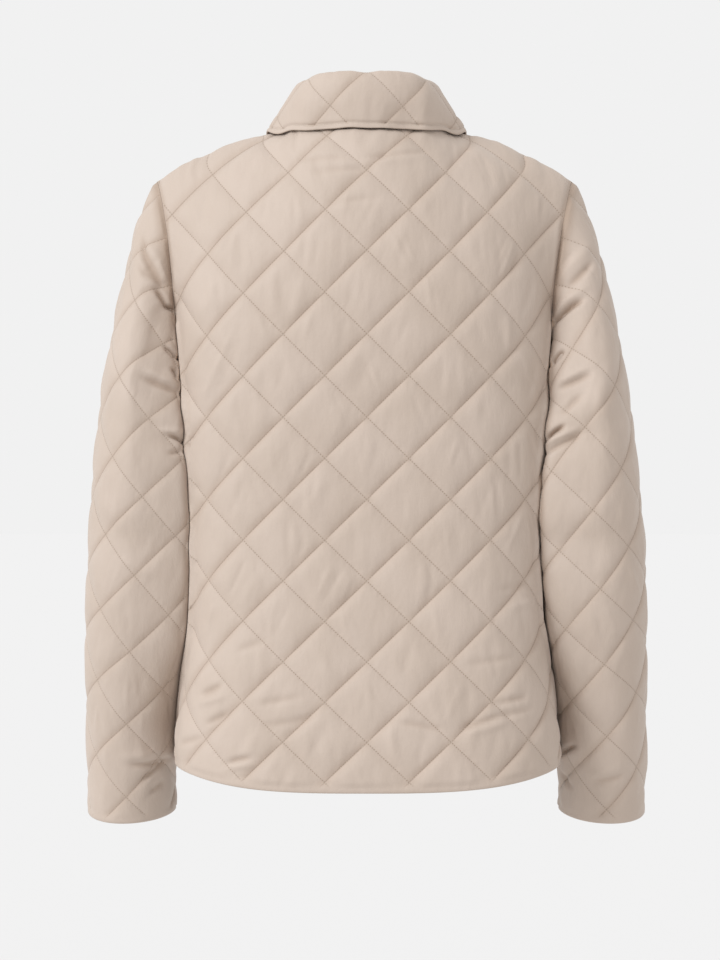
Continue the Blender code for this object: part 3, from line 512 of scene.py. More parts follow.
def through(xs, ys, at):
    """The smooth curve through (xs, ys), read at the given places."""
    order = np.argsort(xs)
    xs, ys = np.asarray(xs)[order], np.asarray(ys)[order]
    slopes = np.gradient(ys, xs)
    at = np.clip(np.asarray(at, float), xs[0], xs[-1])
    i = np.clip(np.searchsorted(xs, at, side="right") - 1, 0, len(xs) - 2)
    step = xs[i + 1] - xs[i]
    t = (at - xs[i]) / step
    start = (2 * t**3 - 3 * t**2 + 1) * ys[i] + (t**3 - 2 * t**2 + t) * step * slopes[i]
    end = (3 * t**2 - 2 * t**3) * ys[i + 1] + (t**3 - t**2) * step * slopes[i + 1]
    return start + end


def smooth_step(t):
    """0 below t = 0, 1 above t = 1, and a smooth rise between."""
    t = np.clip(t, 0.0, 1.0)
    return t * t * (3 - 2 * t)


def between(values, start, end):
    """0 before start, 1 beyond end, and a smooth rise between."""
    return smooth_step((values - start) / (end - start))


def unit(vectors):
    """The vectors at length 1."""
    lengths = np.linalg.norm(vectors, axis=-1, keepdims=True)
    return vectors / np.maximum(lengths, 1e-12)


def soften(values, passes, directions=False):
    """Evens out a row of points or directions in place, with its ends kept."""
    for _ in range(passes):
        total = values[:-2] + 2 * values[1:-1] + values[2:]
        values[1:-1] = unit(total) if directions else total / 4


def neighbours(grid):
    """The sum of the four neighbours of each point that isn't on the grid's edge."""
    return grid[:-2, 1:-1] + grid[2:, 1:-1] + grid[1:-1, :-2] + grid[1:-1, 2:]


def running(steps):
    """Running sums along a row or each row, from 0."""
    return np.concatenate([np.zeros((*steps.shape[:-1], 1)), np.cumsum(steps, axis=-1)], axis=-1)


def read_at(wanted, places, values):
    """A row of points or directions, known at some places along it, read at the wanted ones."""
    return np.stack([np.interp(wanted, places, row) for row in values.T], axis=-1)


def cell_corners(grid):
    """The four corners of each cell, in order round the cell."""
    return grid[:-1, :-1], grid[:-1, 1:], grid[1:, 1:], grid[1:, :-1]


# The body's outer face.


def section_angle(face, share):
    """The section's angle at an even share of the way from the side seam (0) to the middle (1)."""
    angles = np.linspace(0, math.pi / 2, SECTION_PARTS + 1)
    power = 2 / BODY_SQUARENESS[face]
    x = column(BODY_COLUMNS, BODY_ROWS, "half_width").mean() * np.cos(angles) ** power
    y = column(BODY_COLUMNS, BODY_ROWS, face).mean() * np.sin(angles) ** power
    way = running(np.hypot(np.diff(x), np.diff(y)))
    return np.interp(share, way / way[-1], angles)


def body_measure(name, height):
    """One column of the body's table, read at these heights."""
    heights = column(BODY_COLUMNS, BODY_ROWS, "height")
    return through(heights, column(BODY_COLUMNS, BODY_ROWS, name), height)


def torso_point(face, share, level):
    """A point between the hem (level 0) and the underarm (level 1)."""
    angle = section_angle(face, share)
    power = 2 / BODY_SQUARENESS[face]
    across = np.cos(angle) ** power
    hem = HEM_CENTRE_Z + HEM_SIDE_RISE * across**HEM_RISE_POWER
    height = hem + (UNDERARM_Z - hem) * level
    side_y = body_measure("side_y", height)
    side = 1 if face == "back" else -1
    reach = (body_measure(face, height) - side * side_y) * np.sin(angle) ** power
    return np.stack([body_measure("half_width", height) * across, side_y + side * reach, height], axis=-1)


def body_half_width(y, z):
    """How far the body reaches to the side at this depth and height."""
    side_y, half_width = body_measure("side_y", z), body_measure("half_width", z)
    found = np.zeros_like(y)
    for face, side in (("back", 1), ("front", -1)):
        depth = body_measure(face, z) - side * side_y
        part = np.clip(side * (y - side_y) / depth, 0, 1)
        power = BODY_SQUARENESS[face]
        reach = half_width * (1 - part**power) ** (1 / power)
        found = np.where(side * (y - side_y) >= 0, reach, found)
    return found


def top_edge_point(face, share):
    """A point of the shoulder seam, then of the neckline."""
    neck = BACK_NECK if face == "back" else FRONT_NECK
    along = np.clip(share / neck["shoulder_share"], 0, 1)[..., None]
    seam = np.array(SHOULDER_TIP) + (np.array(NECK_SIDE) - np.array(SHOULDER_TIP)) * along
    crown = SHOULDER_CROWN * 4 * along[..., 0] * (1 - along[..., 0])
    seam = seam + crown[..., None] * UP
    angle = np.clip((share - neck["shoulder_share"]) / (1 - neck["shoulder_share"]), 0, 1) * math.pi / 2
    round_neck = np.stack(
        [
            NECK_SIDE[0] * np.cos(angle),
            NECK_SIDE[1] + neck["depth_y"] * np.sin(angle),
            NECK_SIDE[2] - neck["drop"] * np.sin(angle) ** (2 * neck["drop_power"]),
        ],
        axis=-1,
    )
    return np.where((share > neck["shoulder_share"])[..., None], round_neck, seam)


def rise(face, share):
    """How a column leaves its foot at the underarm level."""
    pull = ((1 - share) ** ARMHOLE_PULL_POWER)[..., None]
    return np.array(RISE[face]["inside"]) * (1 - pull) + np.array(RISE[face]["armhole"]) * pull


def shoulder_point(face, share):
    """The point that bends a column over to the top edge. The table goes on over the middle, mirrored."""
    rows = SHOULDER_ROWS[face]
    at = column(SHOULDER_COLUMNS, rows, "share")
    axes = []
    for axis in "xyz":
        values = column(SHOULDER_COLUMNS, rows, axis)
        beyond = values[-2::-1] * (-1 if axis == "x" else 1)
        axes.append(through(np.concatenate([at, 2 - at[-2::-1]]), np.concatenate([values, beyond]), share))
    return np.stack(axes, axis=-1)


def body_point(face, share, level):
    """A point of the back or a left front. level is 0 at the hem, 1 at the underarm and 2 at the top edge.

    share is 0 at the side seam and armhole and 1 at the middle, and past 1 it goes on over the middle.
    """
    share, level = np.broadcast_arrays(np.asarray(share, float), np.asarray(level, float))
    side = np.where(share > 1, -1.0, 1.0)
    share = 1 - np.abs(1 - share)
    low = torso_point(face, share, np.clip(level, 0, 1))
    foot = torso_point(face, share, np.ones_like(share))
    head = top_edge_point(face, share)
    t = np.clip(level - 1, 0, 1)[..., None]
    second = foot + rise(face, share)
    third = shoulder_point(face, share)
    high = (1 - t) ** 3 * foot + 3 * (1 - t) ** 2 * t * second + 3 * (1 - t) * t**2 * third + t**3 * head
    point = np.where((level > 1)[..., None], high, low)
    point[..., 0] *= side
    return point


# The sleeve's outer face.


def armhole_point(turn):
    """A point of the armhole seam: from the underarm (0) up the back to the tip (0.5) and down the front."""
    back = body_point("back", np.zeros_like(turn), 1 + np.clip(turn * 2, 0, 1))
    front = body_point("front", np.zeros_like(turn), 1 + np.clip(2 - turn * 2, 0, 1))
    return np.where((turn <= 0.5)[..., None], back, front)


def sleeve_ring_point(turn, run):
    """A point of the plain ring at this run down the sleeve."""
    runs = column(SLEEVE_COLUMNS, SLEEVE_ROWS, "run")
    value = {
        name: through(runs, column(SLEEVE_COLUMNS, SLEEVE_ROWS, name), run)
        for name in SLEEVE_COLUMNS[2:]
    }
    across, deep = np.cos(math.pi - 2 * math.pi * turn), np.sin(math.pi - 2 * math.pi * turn)
    outward = (1 + across) / 2
    x = value["inner_x"] + (value["outer_x"] - value["inner_x"]) * outward
    y = value["centre_y"] + value["half_depth"] * deep
    z = value["inner_z"] + (value["outer_z"] - value["inner_z"]) * outward
    z = z - value["tilt"] * value["half_depth"] * deep
    beside = body_half_width(y, z) + SLEEVE_CLEARANCE
    pressed = value["press"] * smooth_step(-PRESS_SHARPNESS * across)
    return np.stack([x + (beside - x) * pressed, y, z], axis=-1)


def ridge(fold, right, up):
    """How far one fold or trough lifts the cloth at these places, counted from its middle."""
    lean = math.radians(fold["lean_deg"])
    along = (right * math.cos(lean) + up * math.sin(lean)) / fold["half_length"]
    beside = (up * math.cos(lean) - right * math.sin(lean)) / fold["half_width"]
    beside = beside - fold.get("bend", 0) * along**2
    return fold["depth"] * np.exp(-(beside**2) - along**4)


def fold_height(turn, run):
    """How far the large folds move the sleeve's cloth out."""
    height = np.zeros_like(turn)
    for row in SLEEVE_FOLDS:
        fold = dict(zip(FOLD_COLUMNS, row))
        around = ((turn - fold["turn"] + 0.5) % 1 - 0.5) * SLEEVE_GIRTH
        height += ridge(fold, around, (run - fold["run"]) * SLEEVE_LENGTH)
    return height


def sleeve_point(turn, run):
    """A point of the left sleeve. turn is 0 at the underarm and 0.25 at the back, run is 1 at the cuff."""
    turn, run = np.broadcast_arrays(np.asarray(turn, float), np.asarray(run, float))
    ring = sleeve_ring_point(turn, run)
    own_shape = armhole_point(turn) - sleeve_ring_point(turn, np.zeros_like(run))
    return ring + own_shape * (1 - smooth_step(run / ARMHOLE_FADE_RUN))[..., None]


# Panels as fine grids. A sleeve's last column repeats its first one, at the underarm seam.


def body_levels():
    """The rows of the back and the fronts, from the hem (0) over the underarm (1) to the top edge (2)."""
    low = np.linspace(0, 1, SIDE_CELLS + 1)
    return np.concatenate([low, 1 + np.linspace(0, 1, ARMHOLE_CELLS + 1)[1:]])


def half_shares(neck_starts, neck_cells):
    """From a side seam to the middle."""
    tip_to_neck = np.linspace(0, neck_starts, SHOULDER_CELLS + 1)
    return np.concatenate([tip_to_neck, np.linspace(neck_starts, 1, neck_cells + 1)[1:]])


def back_shares():
    """From the left side seam to the right one: shares over 1 are the right half."""
    left = half_shares(BACK_NECK["shoulder_share"], BACK_NECK_CELLS)
    return np.concatenate([left, 2 - left[-2::-1]])


def front_shares():
    """From the left side seam to the middle, then on to the lap's edge."""
    lap = 1 + np.linspace(0, LAP_REACH / FRONT_ARC, LAP_CELLS + 1)[1:]
    return np.concatenate([half_shares(FRONT_NECK["shoulder_share"], FRONT_NECK_CELLS), lap])


def outward(grid, closed, flip):
    """The outward direction at each point of a grid."""
    across = np.gradient(grid, axis=1)
    if closed:
        across[:, 0] = across[:, -1] = (grid[:, 1] - grid[:, -2]) / 2
    return unit(np.cross(across, np.gradient(grid, axis=0))) * (-1 if flip else 1)


def flat_pattern(grid, normals, up, start):
    """Where each point lies in the cloth before sewing: x along the rows from column start, y along up."""
    upward = unit(up - (up * normals).sum(axis=-1, keepdims=True) * normals)
    side = np.cross(upward, normals)
    step = grid[:, 1:] - grid[:, :-1]
    x = running(((side[:, 1:] + side[:, :-1]) / 2 * step).sum(axis=-1))
    y = running(((upward[:, 1:] + upward[:, :-1]) / 2 * step).sum(axis=-1))
    climb = grid[1:, start] - grid[:-1, start]
    rows = (upward[1:, start] + upward[:-1, start]) / 2
    height = running((rows * climb).sum(axis=-1))
    return x - x[:, start : start + 1], y - y[:, start : start + 1] + height[:, None]


def carried(direction, old, new):
    """The direction after the least turn that brings one normal to the next."""
    axis, level = np.cross(old, new), (old * new).sum(axis=-1, keepdims=True)
    along = axis * (axis * direction).sum(axis=-1, keepdims=True)
    return direction * level + np.cross(axis, direction) + along / (1 + level)


def rolled_out(grid, normals, row, col):
    """The flat pattern by rolling the cloth out along one row from a column, then up and down the columns."""
    x, y = np.zeros(grid.shape[:2]), np.zeros(grid.shape[:2])
    side = np.zeros_like(grid)
    up = unit(grid[row - 1, col] - grid[row + 1, col])
    side[row, col] = unit(np.cross(up, normals[row, col]))

    def step(here, there):
        side[there] = unit(carried(side[here], normals[here], normals[there]))
        middle = side[here] + side[there]
        upward = np.cross(normals[here] + normals[there], middle)
        way = grid[there] - grid[here]
        x[there] = x[here] + (way * unit(middle)).sum(axis=-1)
        y[there] = y[here] + (way * unit(upward)).sum(axis=-1)

    for at in range(col, grid.shape[1] - 1):
        step((row, at), (row, at + 1))
    for at in range(col, 0, -1):
        step((row, at), (row, at - 1))
    for at in range(row, len(grid) - 1):
        step(at, at + 1)
    for at in range(row, 0, -1):
        step(at, at - 1)
    return x, y - y[0, col]


def distance_from(grid, edge):
    """How far each point is from an edge of its grid, measured along its row or column."""
    if edge in ("first", "last"):
        grid = np.swapaxes(grid, 0, 1)
    if edge in ("end", "last"):
        grid = grid[:, ::-1]
    way = running(np.linalg.norm(grid[:, 1:] - grid[:, :-1], axis=-1))
    if edge in ("end", "last"):
        way = way[:, ::-1]
    return np.swapaxes(way, 0, 1) if edge in ("first", "last") else way


def edge_of(values, edge):
    """The values along an edge, shaped so that they spread over the grid."""
    return {
        "start": values[:, :1],
        "end": values[:, -1:],
        "first": values[:1],
        "last": values[-1:],
    }[edge]


def shifted(values, by_row, by_column):
    """The values at places moved by parts of a cell."""
    if values.ndim > by_row.ndim:
        by_row, by_column = by_row[..., None], by_column[..., None]
    return values + np.gradient(values, axis=0) * by_row + np.gradient(values, axis=1) * by_column


class Cloth:
    """One panel: its points, wall directions, flat pattern and place in the quilting.

    limit is the most that the wadding may lift the cloth and fill the least. press flattens the puffs, and
    shade holds the painted shade on the cloth, or the painted light below 0.
    """

    def __init__(self, name, grid, sewn, free, closed=False, flip=False):
        self.name = name
        self.grid = grid
        self.sewn = sewn
        self.free = free
        self.closed = closed
        self.flip = flip
        self.normals = outward(grid, closed, flip)
        self.directions = self.normals
        self.limit = np.full(grid.shape[:2], 1.0)
        self.press = np.zeros(grid.shape[:2])
        self.fill = np.full(grid.shape[:2], -1.0)
        self.shade = np.zeros(grid.shape[:2])
        self.plain, self.plain_out = self.grid, self.normals
        self.edge_from, self.edge_to = EDGE_PLAIN
        self.from_seam = np.min([distance_from(grid, edge) for edge in sewn], axis=0)
        self.from_free = np.min([distance_from(grid, edge) for edge in free], axis=0)

    def lay_flat(self, up, start):
        """Sets x and y: where each point lies in the cloth before sewing, y from column start upwards."""
        filled = self.grid + self.normals * np.maximum(self.fill, 0)[..., None]
        self.x, self.y = flat_pattern(filled, outward(filled, self.closed, self.flip), up, start)

    def quilt(self, across, row):
        """Sets the lattice coordinates: whole values of first and second are quilting lines."""
        self.first = across + row
        self.second = across - row

    def turn_walls(self, seam_directions):
        """Turns the wall near each seam to the direction that the seam's two pieces share."""
        wall = self.normals
        for edge in self.sewn:
            shared = edge_of(seam_directions, edge)
            near = 1 - smooth_step(distance_from(self.grid, edge) / SEAM_TURN_REACH)
            wall = unit(wall * (1 - near[..., None]) + shared * near[..., None])
        for _ in range(WALL_SMOOTHING):
            wall[1:-1, 1:-1] = unit(neighbours(wall) + 4 * wall[1:-1, 1:-1])
        self.directions = wall

    def snap(self):
        """Moves the grid's points nearest to the quilting lines onto them, so the creases are crisp."""
        slopes = [np.gradient(values) for values in (self.first, self.second)]
        off = [values - np.round(values) for values in (self.first, self.second)]
        near = [abs(o) <= 0.5 * np.maximum(abs(s[0]), abs(s[1])) for o, s in zip(off, slopes)]
        for mask in near:
            mask[[0, -1]] = False
            mask[:, [0, -1]] = False
        (first_row, first_col), (second_row, second_col) = slopes
        turn = first_row * second_col - first_col * second_row
        turn = np.where(abs(turn) < 1e-9, 1e-9, turn)
        cross_row = (-off[0] * second_col + off[1] * first_col) / turn
        cross_col = (-off[1] * first_row + off[0] * second_row) / turn
        crossing = near[0] & near[1] & (abs(cross_row) <= 0.5) & (abs(cross_col) <= 0.5)
        by_row, by_col = np.where(crossing, cross_row, 0.0), np.where(crossing, cross_col, 0.0)
        closer = abs(off[0]) / np.hypot(*slopes[0]) <= abs(off[1]) / np.hypot(*slopes[1])
        alone = [near[0] & ~crossing & (closer | ~near[1]), near[1] & ~crossing & (~closer | ~near[0])]
        for o, (row, col), mask in zip(off, slopes, alone):
            steep = row**2 + col**2 + 1e-12
            by_row = np.where(mask, -o * row / steep, by_row)
            by_col = np.where(mask, -o * col / steep, by_col)
        on_line = [alone[0] | crossing, alone[1] | crossing]
        lines = [np.round(values) for values in (self.first, self.second)]
        self.lines = [np.where(on, line, np.nan) for on, line in zip(on_line, lines)]
        for name in ("grid", "directions", "x", "y", "first", "second", "from_seam", "from_free"):
            setattr(self, name, shifted(getattr(self, name), by_row, by_col))
        self.directions = unit(self.directions)
        self.first = np.where(on_line[0], lines[0], self.first)
        self.second = np.where(on_line[1], lines[1], self.second)

    def puff(self):
        """How far up the wadding lifts the cloth, 0 on the quilting lines and 1 in the diamonds."""
        part = 2 * abs(self.first - np.round(self.first))
        falling = 1 - (1 - part) ** PUFF_POWERS["falling"]
        part = self.second - np.floor(self.second)
        below = 1 - np.clip(1 - part / PUFF_PEAK, 0, 1) ** PUFF_POWERS["below_rising"]
        above = 1 - np.clip(1 - (1 - part) / (1 - PUFF_PEAK), 0, 1) ** PUFF_POWERS["above_rising"]
        return np.minimum(below, above) * (1 - FALLING_LINES_DEPTH * (1 - falling))

    def shape(self, seed, folds, strength):
        """Works out the outer and the inner face."""
        inside = smooth_step(self.from_seam / SEAM_REACH)
        plain = 1 - between(self.from_free, self.edge_from, self.edge_to)
        puff = self.puff() * (1 - plain) * (1 - self.press * LAP_PRESS)
        lift = PUFF_HEIGHT * strength * puff - PUFF_SINK * (1 - plain)
        lift = lift + crinkles(self.first, self.second, seed) * np.sqrt(puff) * strength
        lift = lift + EDGE_FLAT * plain
        lift = lift * inside - SEAM_DIVE * (1 - inside)
        if self.name == "collar":
            beside = (self.from_free - EDGE_GROOVE["inset"]) / EDGE_GROOVE["width"]
            lift = lift - EDGE_GROOVE["depth"] * np.exp(-(beside**2))
        folded = fold_lift(folds, self.x, self.y) * inside
        # Painted shade in the deep folds, beside the painted light that values below 0 hold.
        darker = np.maximum(self.shade, smooth_step(-folded / FOLD_SHADE["depth"]) * FOLD_SHADE["strength"])
        self.shade = np.where(self.shade < 0, self.shade, darker)
        notch = np.where(self.grid[..., 0] > 0, CONTACT_NOTCH["left"], CONTACT_NOTCH["right"])
        filled = self.fill - notch * (1 - puff)
        self.lift = np.minimum(np.maximum(lift, filled) + folded, self.limit)
        self.fade = (1 - plain) * smooth_step(self.from_seam / SEAM_PLAIN)
        back = SEAM_THICKNESS + (SHELL_THICKNESS - SEAM_THICKNESS) * inside + INNER_PUFF * PUFF_HEIGHT * puff
        if self.name == "collar":
            thin = 1 - smooth_step(self.from_free / COLLAR_EDGE_THIN["reach"])
            back = back - (back - COLLAR_EDGE_THIN["wall"]) * thin
        moved = self.grid + edge_shift(self)
        self.outer = moved + self.directions * self.lift[..., None]
        self.inner = moved - self.directions * (back - PUFF_SINK * INNER_PUFF)[..., None]


def edge_shift(cloth):
    """Half the seam gap, into the panel, at its sewn edges."""
    shift = np.zeros_like(cloth.grid)
    for edge in cloth.sewn:
        if cloth.closed and edge in ("start", "end"):
            continue
        moved = edge_line(shift, edge)
        moved += unit(edge_line(cloth.grid, edge, 1) - edge_line(cloth.grid, edge)) * SEAM_GAP / 2
    return shift


def crinkles(first, second, seed):
    """Soft ridges in each diamond, mostly upright, each with its own place, lean and depth."""
    repeat = CRINKLES["repeat"]
    table = np.random.default_rng(seed).uniform(-1, 1, (CRINKLES["count"], 4, repeat, repeat))
    column_at = np.floor(first).astype(int) % repeat
    row_at = np.floor(second).astype(int) % repeat
    part_first = first - np.floor(first) - 0.5
    part_second = second - np.floor(second) - 0.5
    across = QUILT_BODY["across"] * (part_first + part_second) / 2
    upward = QUILT_BODY["down"] * (part_first - part_second) / 2
    height = np.zeros_like(first)
    for ridge in table:
        place, lean, width, depth = (values[column_at, row_at] for values in ridge)
        lean = lean * CRINKLES["lean"]
        beside = across * np.cos(lean) + upward * np.sin(lean) - place * CRINKLES["spread"]
        along = upward * np.cos(lean) - across * np.sin(lean)
        wide = CRINKLES["width"] * (1 + CRINKLES["width_varies"] * width)
        height += depth * np.exp(-((beside / wide) ** 2) - (along / CRINKLES["length"]) ** 4)
    return height * CRINKLES["depth"]


def fold_lift(folds, x, y):
    """How far the panel's small folds and troughs lift the cloth."""
    height = np.zeros_like(x)
    for row in folds:
        fold = dict(zip(SMALL_FOLD_COLUMNS, row))
        height += ridge(fold, x - fold["x"], y - fold["y"])
    return height


def point_key(point):
    """The same for two points within about 0.01 mm."""
    return tuple(np.round(point * POINTS_PER_METRE).astype(int))


def share_seams(cloths):
    """Gives the pieces that meet at a seam one wall direction there, halfway between body and sleeve."""
    total = {}
    for closed in (False, True):
        found = {}
        for cloth in (cloth for cloth in cloths if cloth.closed == closed):
            for key, normal in boundary(cloth):
                found[key] = found.get(key, 0) + normal
        for key, normal in found.items():
            total[key] = total.get(key, 0) + unit(normal)
    for cloth in cloths:
        shared = cloth.normals.copy()
        for at in boundary_places(cloth):
            shared[at] = unit(total[point_key(cloth.grid[at])])
        cloth.turn_walls(shared)


def boundary_places(cloth):
    """The row and the column of each point on the panel's edges."""
    rows, columns = cloth.grid.shape[:2]
    for row in range(rows):
        yield row, 0
        yield row, columns - 1
    for col in range(1, columns - 1):
        yield 0, col
        yield rows - 1, col


def boundary(cloth):
    """The key and the outward direction of each point on the panel's edges."""
    for at in boundary_places(cloth):
        yield point_key(cloth.grid[at]), cloth.normals[at]


# Meshes from grids. Each corner keeps its own place in the quilting and in the flat pattern, for the looks.


def grid_faces(grid, rising):
    """Two triangles for each cell. rising says which cells are cut from their second to their last corner."""
    a, b, c, d = cell_corners(grid)
    pick = rising[..., None, None]
    first = np.where(pick, np.stack([a, b, d], axis=2), np.stack([a, b, c], axis=2))
    second = np.where(pick, np.stack([b, c, d], axis=2), np.stack([a, c, d], axis=2))
    return np.concatenate([first.reshape(-1, 3, 2), second.reshape(-1, 3, 2)])


def fine_to_coarse(fine, coarse):
    """Triangles between an edge and one with half as many cells."""
    low, middle, high = fine[:-2:2], fine[1::2], fine[2::2]
    return np.concatenate(
        [
            np.stack([low, middle, coarse[:-1]], axis=1),
            np.stack([middle, coarse[1:], coarse[:-1]], axis=1),
            np.stack([middle, high, coarse[1:]], axis=1),
        ]
    )


def edge_line(grid, edge, inset=0):
    """The points of an edge, or of a line inset from it, in the order that runs against the faces there."""
    return {
        "first": grid[inset, ::-1],
        "end": grid[::-1, -1 - inset],
        "last": grid[-1 - inset],
        "start": grid[:, inset],
    }[edge]


def cell_cuts(cloth):
    """Which cells are cut the other way: along a quilting line, or else along the shorter diagonal."""
    falling, rising = False, False
    for line in cloth.lines:
        a, b, c, d = cell_corners(line)
        falling = falling | (a == c)
        rising = rising | (b == d)
    a, b, c, d = cell_corners(cloth.outer)
    shorter = np.linalg.norm(b - d, axis=-1) < np.linalg.norm(a - c, axis=-1)
    return np.where(falling != rising, rising, shorter)


def numbered(grid):
    """The numbers of the grid's points, row by row."""
    rows, columns = grid.shape[:2]
    return np.arange(rows * columns).reshape(rows, columns)


class Maker:
    """Gathers the points, faces and corner values of one mesh."""

    def __init__(self):
        self.points, self.quilt, self.flat, self.faces = [], [], [], []
        self.point_count = 0
        self.corner_count = 0

    def add_grid(self, points, quilt, flat, closed=False):
        """Registers a grid. Gives the numbers of each point and of its corner values."""
        kept = points[:, :-1] if closed else points
        numbers = self.point_count + numbered(kept)
        if closed:
            numbers = np.concatenate([numbers, numbers[:, :1]], axis=1)
        corners = self.corner_count + numbered(points)
        self.points.append(kept.reshape(-1, 3))
        self.quilt.append(quilt.reshape(-1, 3))
        self.flat.append(flat.reshape(-1, 3))
        self.point_count += kept[..., 0].size
        self.corner_count += points[..., 0].size
        return np.stack([numbers, corners], axis=-1)

    def build(self, name, material, sharp_lines):
        """The mesh's object, with its faces outwards."""
        faces = np.concatenate(self.faces)
        points = np.concatenate(self.points)
        triangles = faces[..., 0]
        corners = points[triangles]
        volume = (corners[:, 0] * np.cross(corners[:, 1], corners[:, 2])).sum()
        if volume < 0:
            faces = faces[:, ::-1]
            triangles = faces[..., 0]
        made = add_mesh(name, points, triangles, material)
        for key, values in (("quilt", self.quilt), ("flat", self.flat)):
            layer = made.data.attributes.new(key, "FLOAT_VECTOR", "CORNER")
            values = np.concatenate(values)[faces[..., 1].ravel()]
            layer.data.foreach_set("vector", values.astype(np.float32).ravel())
        mark_creases(made.data, sharp_lines)
        return made


def add_mesh(name, points, triangles, material):
    """A new smooth object of triangles."""
    mesh = bpy.data.meshes.new(name)
    mesh.vertices.add(len(points))
    mesh.vertices.foreach_set("co", np.asarray(points, np.float32).ravel())
    mesh.loops.add(3 * len(triangles))
    mesh.loops.foreach_set("vertex_index", np.asarray(triangles, np.int32).ravel())
    mesh.polygons.add(len(triangles))
    mesh.polygons.foreach_set("loop_start", np.arange(0, 3 * len(triangles), 3, dtype=np.int32))
    mesh.update(calc_edges=True)
    mesh.validate()
    mesh.materials.append(material)
    mesh.shade_smooth()
    return add_object(name, mesh)


def add_object(name, data):
    """A new object in the scene."""
    made = bpy.data.objects.new(name, data)
    bpy.context.scene.collection.objects.link(made)
    return made


def mark_creases(mesh, lines):
    """Keeps the quilting lines and the walls' edges crisp. lines has each point's line in both families."""
    mesh.set_sharp_from_angle(angle=SHARP_ANGLE)
    ends = np.zeros(2 * len(mesh.edges), np.int32)
    mesh.edges.foreach_get("vertices", ends)
    ends = ends.reshape(-1, 2)
    creased = np.zeros(len(ends), bool)
    known = (ends < len(lines[0])).all(axis=1)
    for line in lines:
        creased[known] |= line[ends[known, 0]] == line[ends[known, 1]]
    layer = mesh.attributes.get("sharp_edge") or mesh.attributes.new("sharp_edge", "BOOLEAN", "EDGE")
    sharp = np.zeros(len(ends), bool)
    layer.data.foreach_get("value", sharp)
    layer.data.foreach_set("value", sharp | creased)


def build_cloth(cloth, material):
    """The panel's mesh: outer face, coarser inner face, sewn edges cut square and free edges rounded."""
    maker = Maker()
    quilt = np.stack([cloth.first, cloth.second, cloth.fade], axis=-1)
    # The flat pattern, and in the third place the painted shade, or painted light below 0.
    flat = np.stack([cloth.x, cloth.y, cloth.shade], axis=-1)
    outer = maker.add_grid(cloth.outer, quilt, flat, cloth.closed)
    step = (slice(None, None, INNER_STEP),) * 2
    under = np.stack([cloth.x, cloth.y, np.zeros_like(cloth.x)], axis=-1)
    inner = maker.add_grid(cloth.inner[step], quilt[step], under[step], cloth.closed)
    maker.faces.append(grid_faces(outer, cell_cuts(cloth)))
    plain = np.zeros((inner.shape[0] - 1, inner.shape[1] - 1), bool)
    maker.faces.append(grid_faces(inner, plain)[:, ::-1])
    for edge in ("first", "end", "last", "start"):
        if cloth.closed and edge in ("start", "end"):
            continue
        line = edge_line(outer, edge)
        if edge in cloth.free:
            line = rounded_edge(maker, cloth, edge, line, edge_line(inner, edge))
        maker.faces.append(fine_to_coarse(line, edge_line(inner, edge)))
    shown = np.where(cloth.fade > 0.5, 0, np.nan)
    kept = slice(None, -1 if cloth.closed else None)
    lines = [(line + shown)[:, kept].ravel() for line in cloth.lines]
    return maker.build(f"{cloth.name}_cloth", material, lines)


def rounded_edge(maker, cloth, edge, line, inner_line):
    """Adds the rows that round a free edge and closes their ends. Gives the row next to the inner face."""
    top, bottom = edge_line(cloth.outer, edge), edge_line(cloth.inner, edge)
    away = unit(top - edge_line(cloth.outer, edge, 1))
    middle, half = (top + bottom) / 2, (top - bottom) / 2
    bulge = np.linalg.norm(half, axis=-1, keepdims=True) * EDGE_BULGE
    angles = math.pi * np.arange(1, EDGE_ROWS + 1) / (EDGE_ROWS + 1)
    rows = np.stack([middle + half * math.cos(t) + away * bulge * math.sin(t) for t in angles])
    looks = []
    for pair in ((cloth.first, cloth.second), (cloth.x, cloth.y)):
        line_looks = np.stack([*(edge_line(values, edge) for values in pair), 0 * top[..., 0]], axis=-1)
        looks.append(np.tile(line_looks, (EDGE_ROWS, 1, 1)))
    grid = maker.add_grid(rows, *looks, cloth.closed)
    whole = np.concatenate([line[None], grid])
    maker.faces.append(grid_faces(whole, np.zeros((EDGE_ROWS, len(line) - 1), bool)))
    if not cloth.closed:
        first = np.concatenate([whole[:, 0], inner_line[:1]])
        last = np.concatenate([whole[:, -1], inner_line[-1:]])[::-1]
        for fan in (first, last):
            centre = np.repeat(fan[:1], len(fan) - 2, axis=0)
            maker.faces.append(np.stack([centre, fan[1:-1], fan[2:]], axis=1))
    return whole[-1]


# Stitches.


def surface_tree(cloth):
    """Finds places on the outer face by their quilting coordinates."""
    numbers = numbered(cloth.first)
    faces = grid_faces(np.stack([numbers, numbers], axis=-1), cell_cuts(cloth))[..., 0]
    flat = np.stack([cloth.first, cloth.second, np.zeros_like(cloth.first)], axis=-1).reshape(-1, 3)
    tree = BVHTree.FromPolygons([Vector(point) for point in flat], faces.tolist())
    return tree, faces, flat


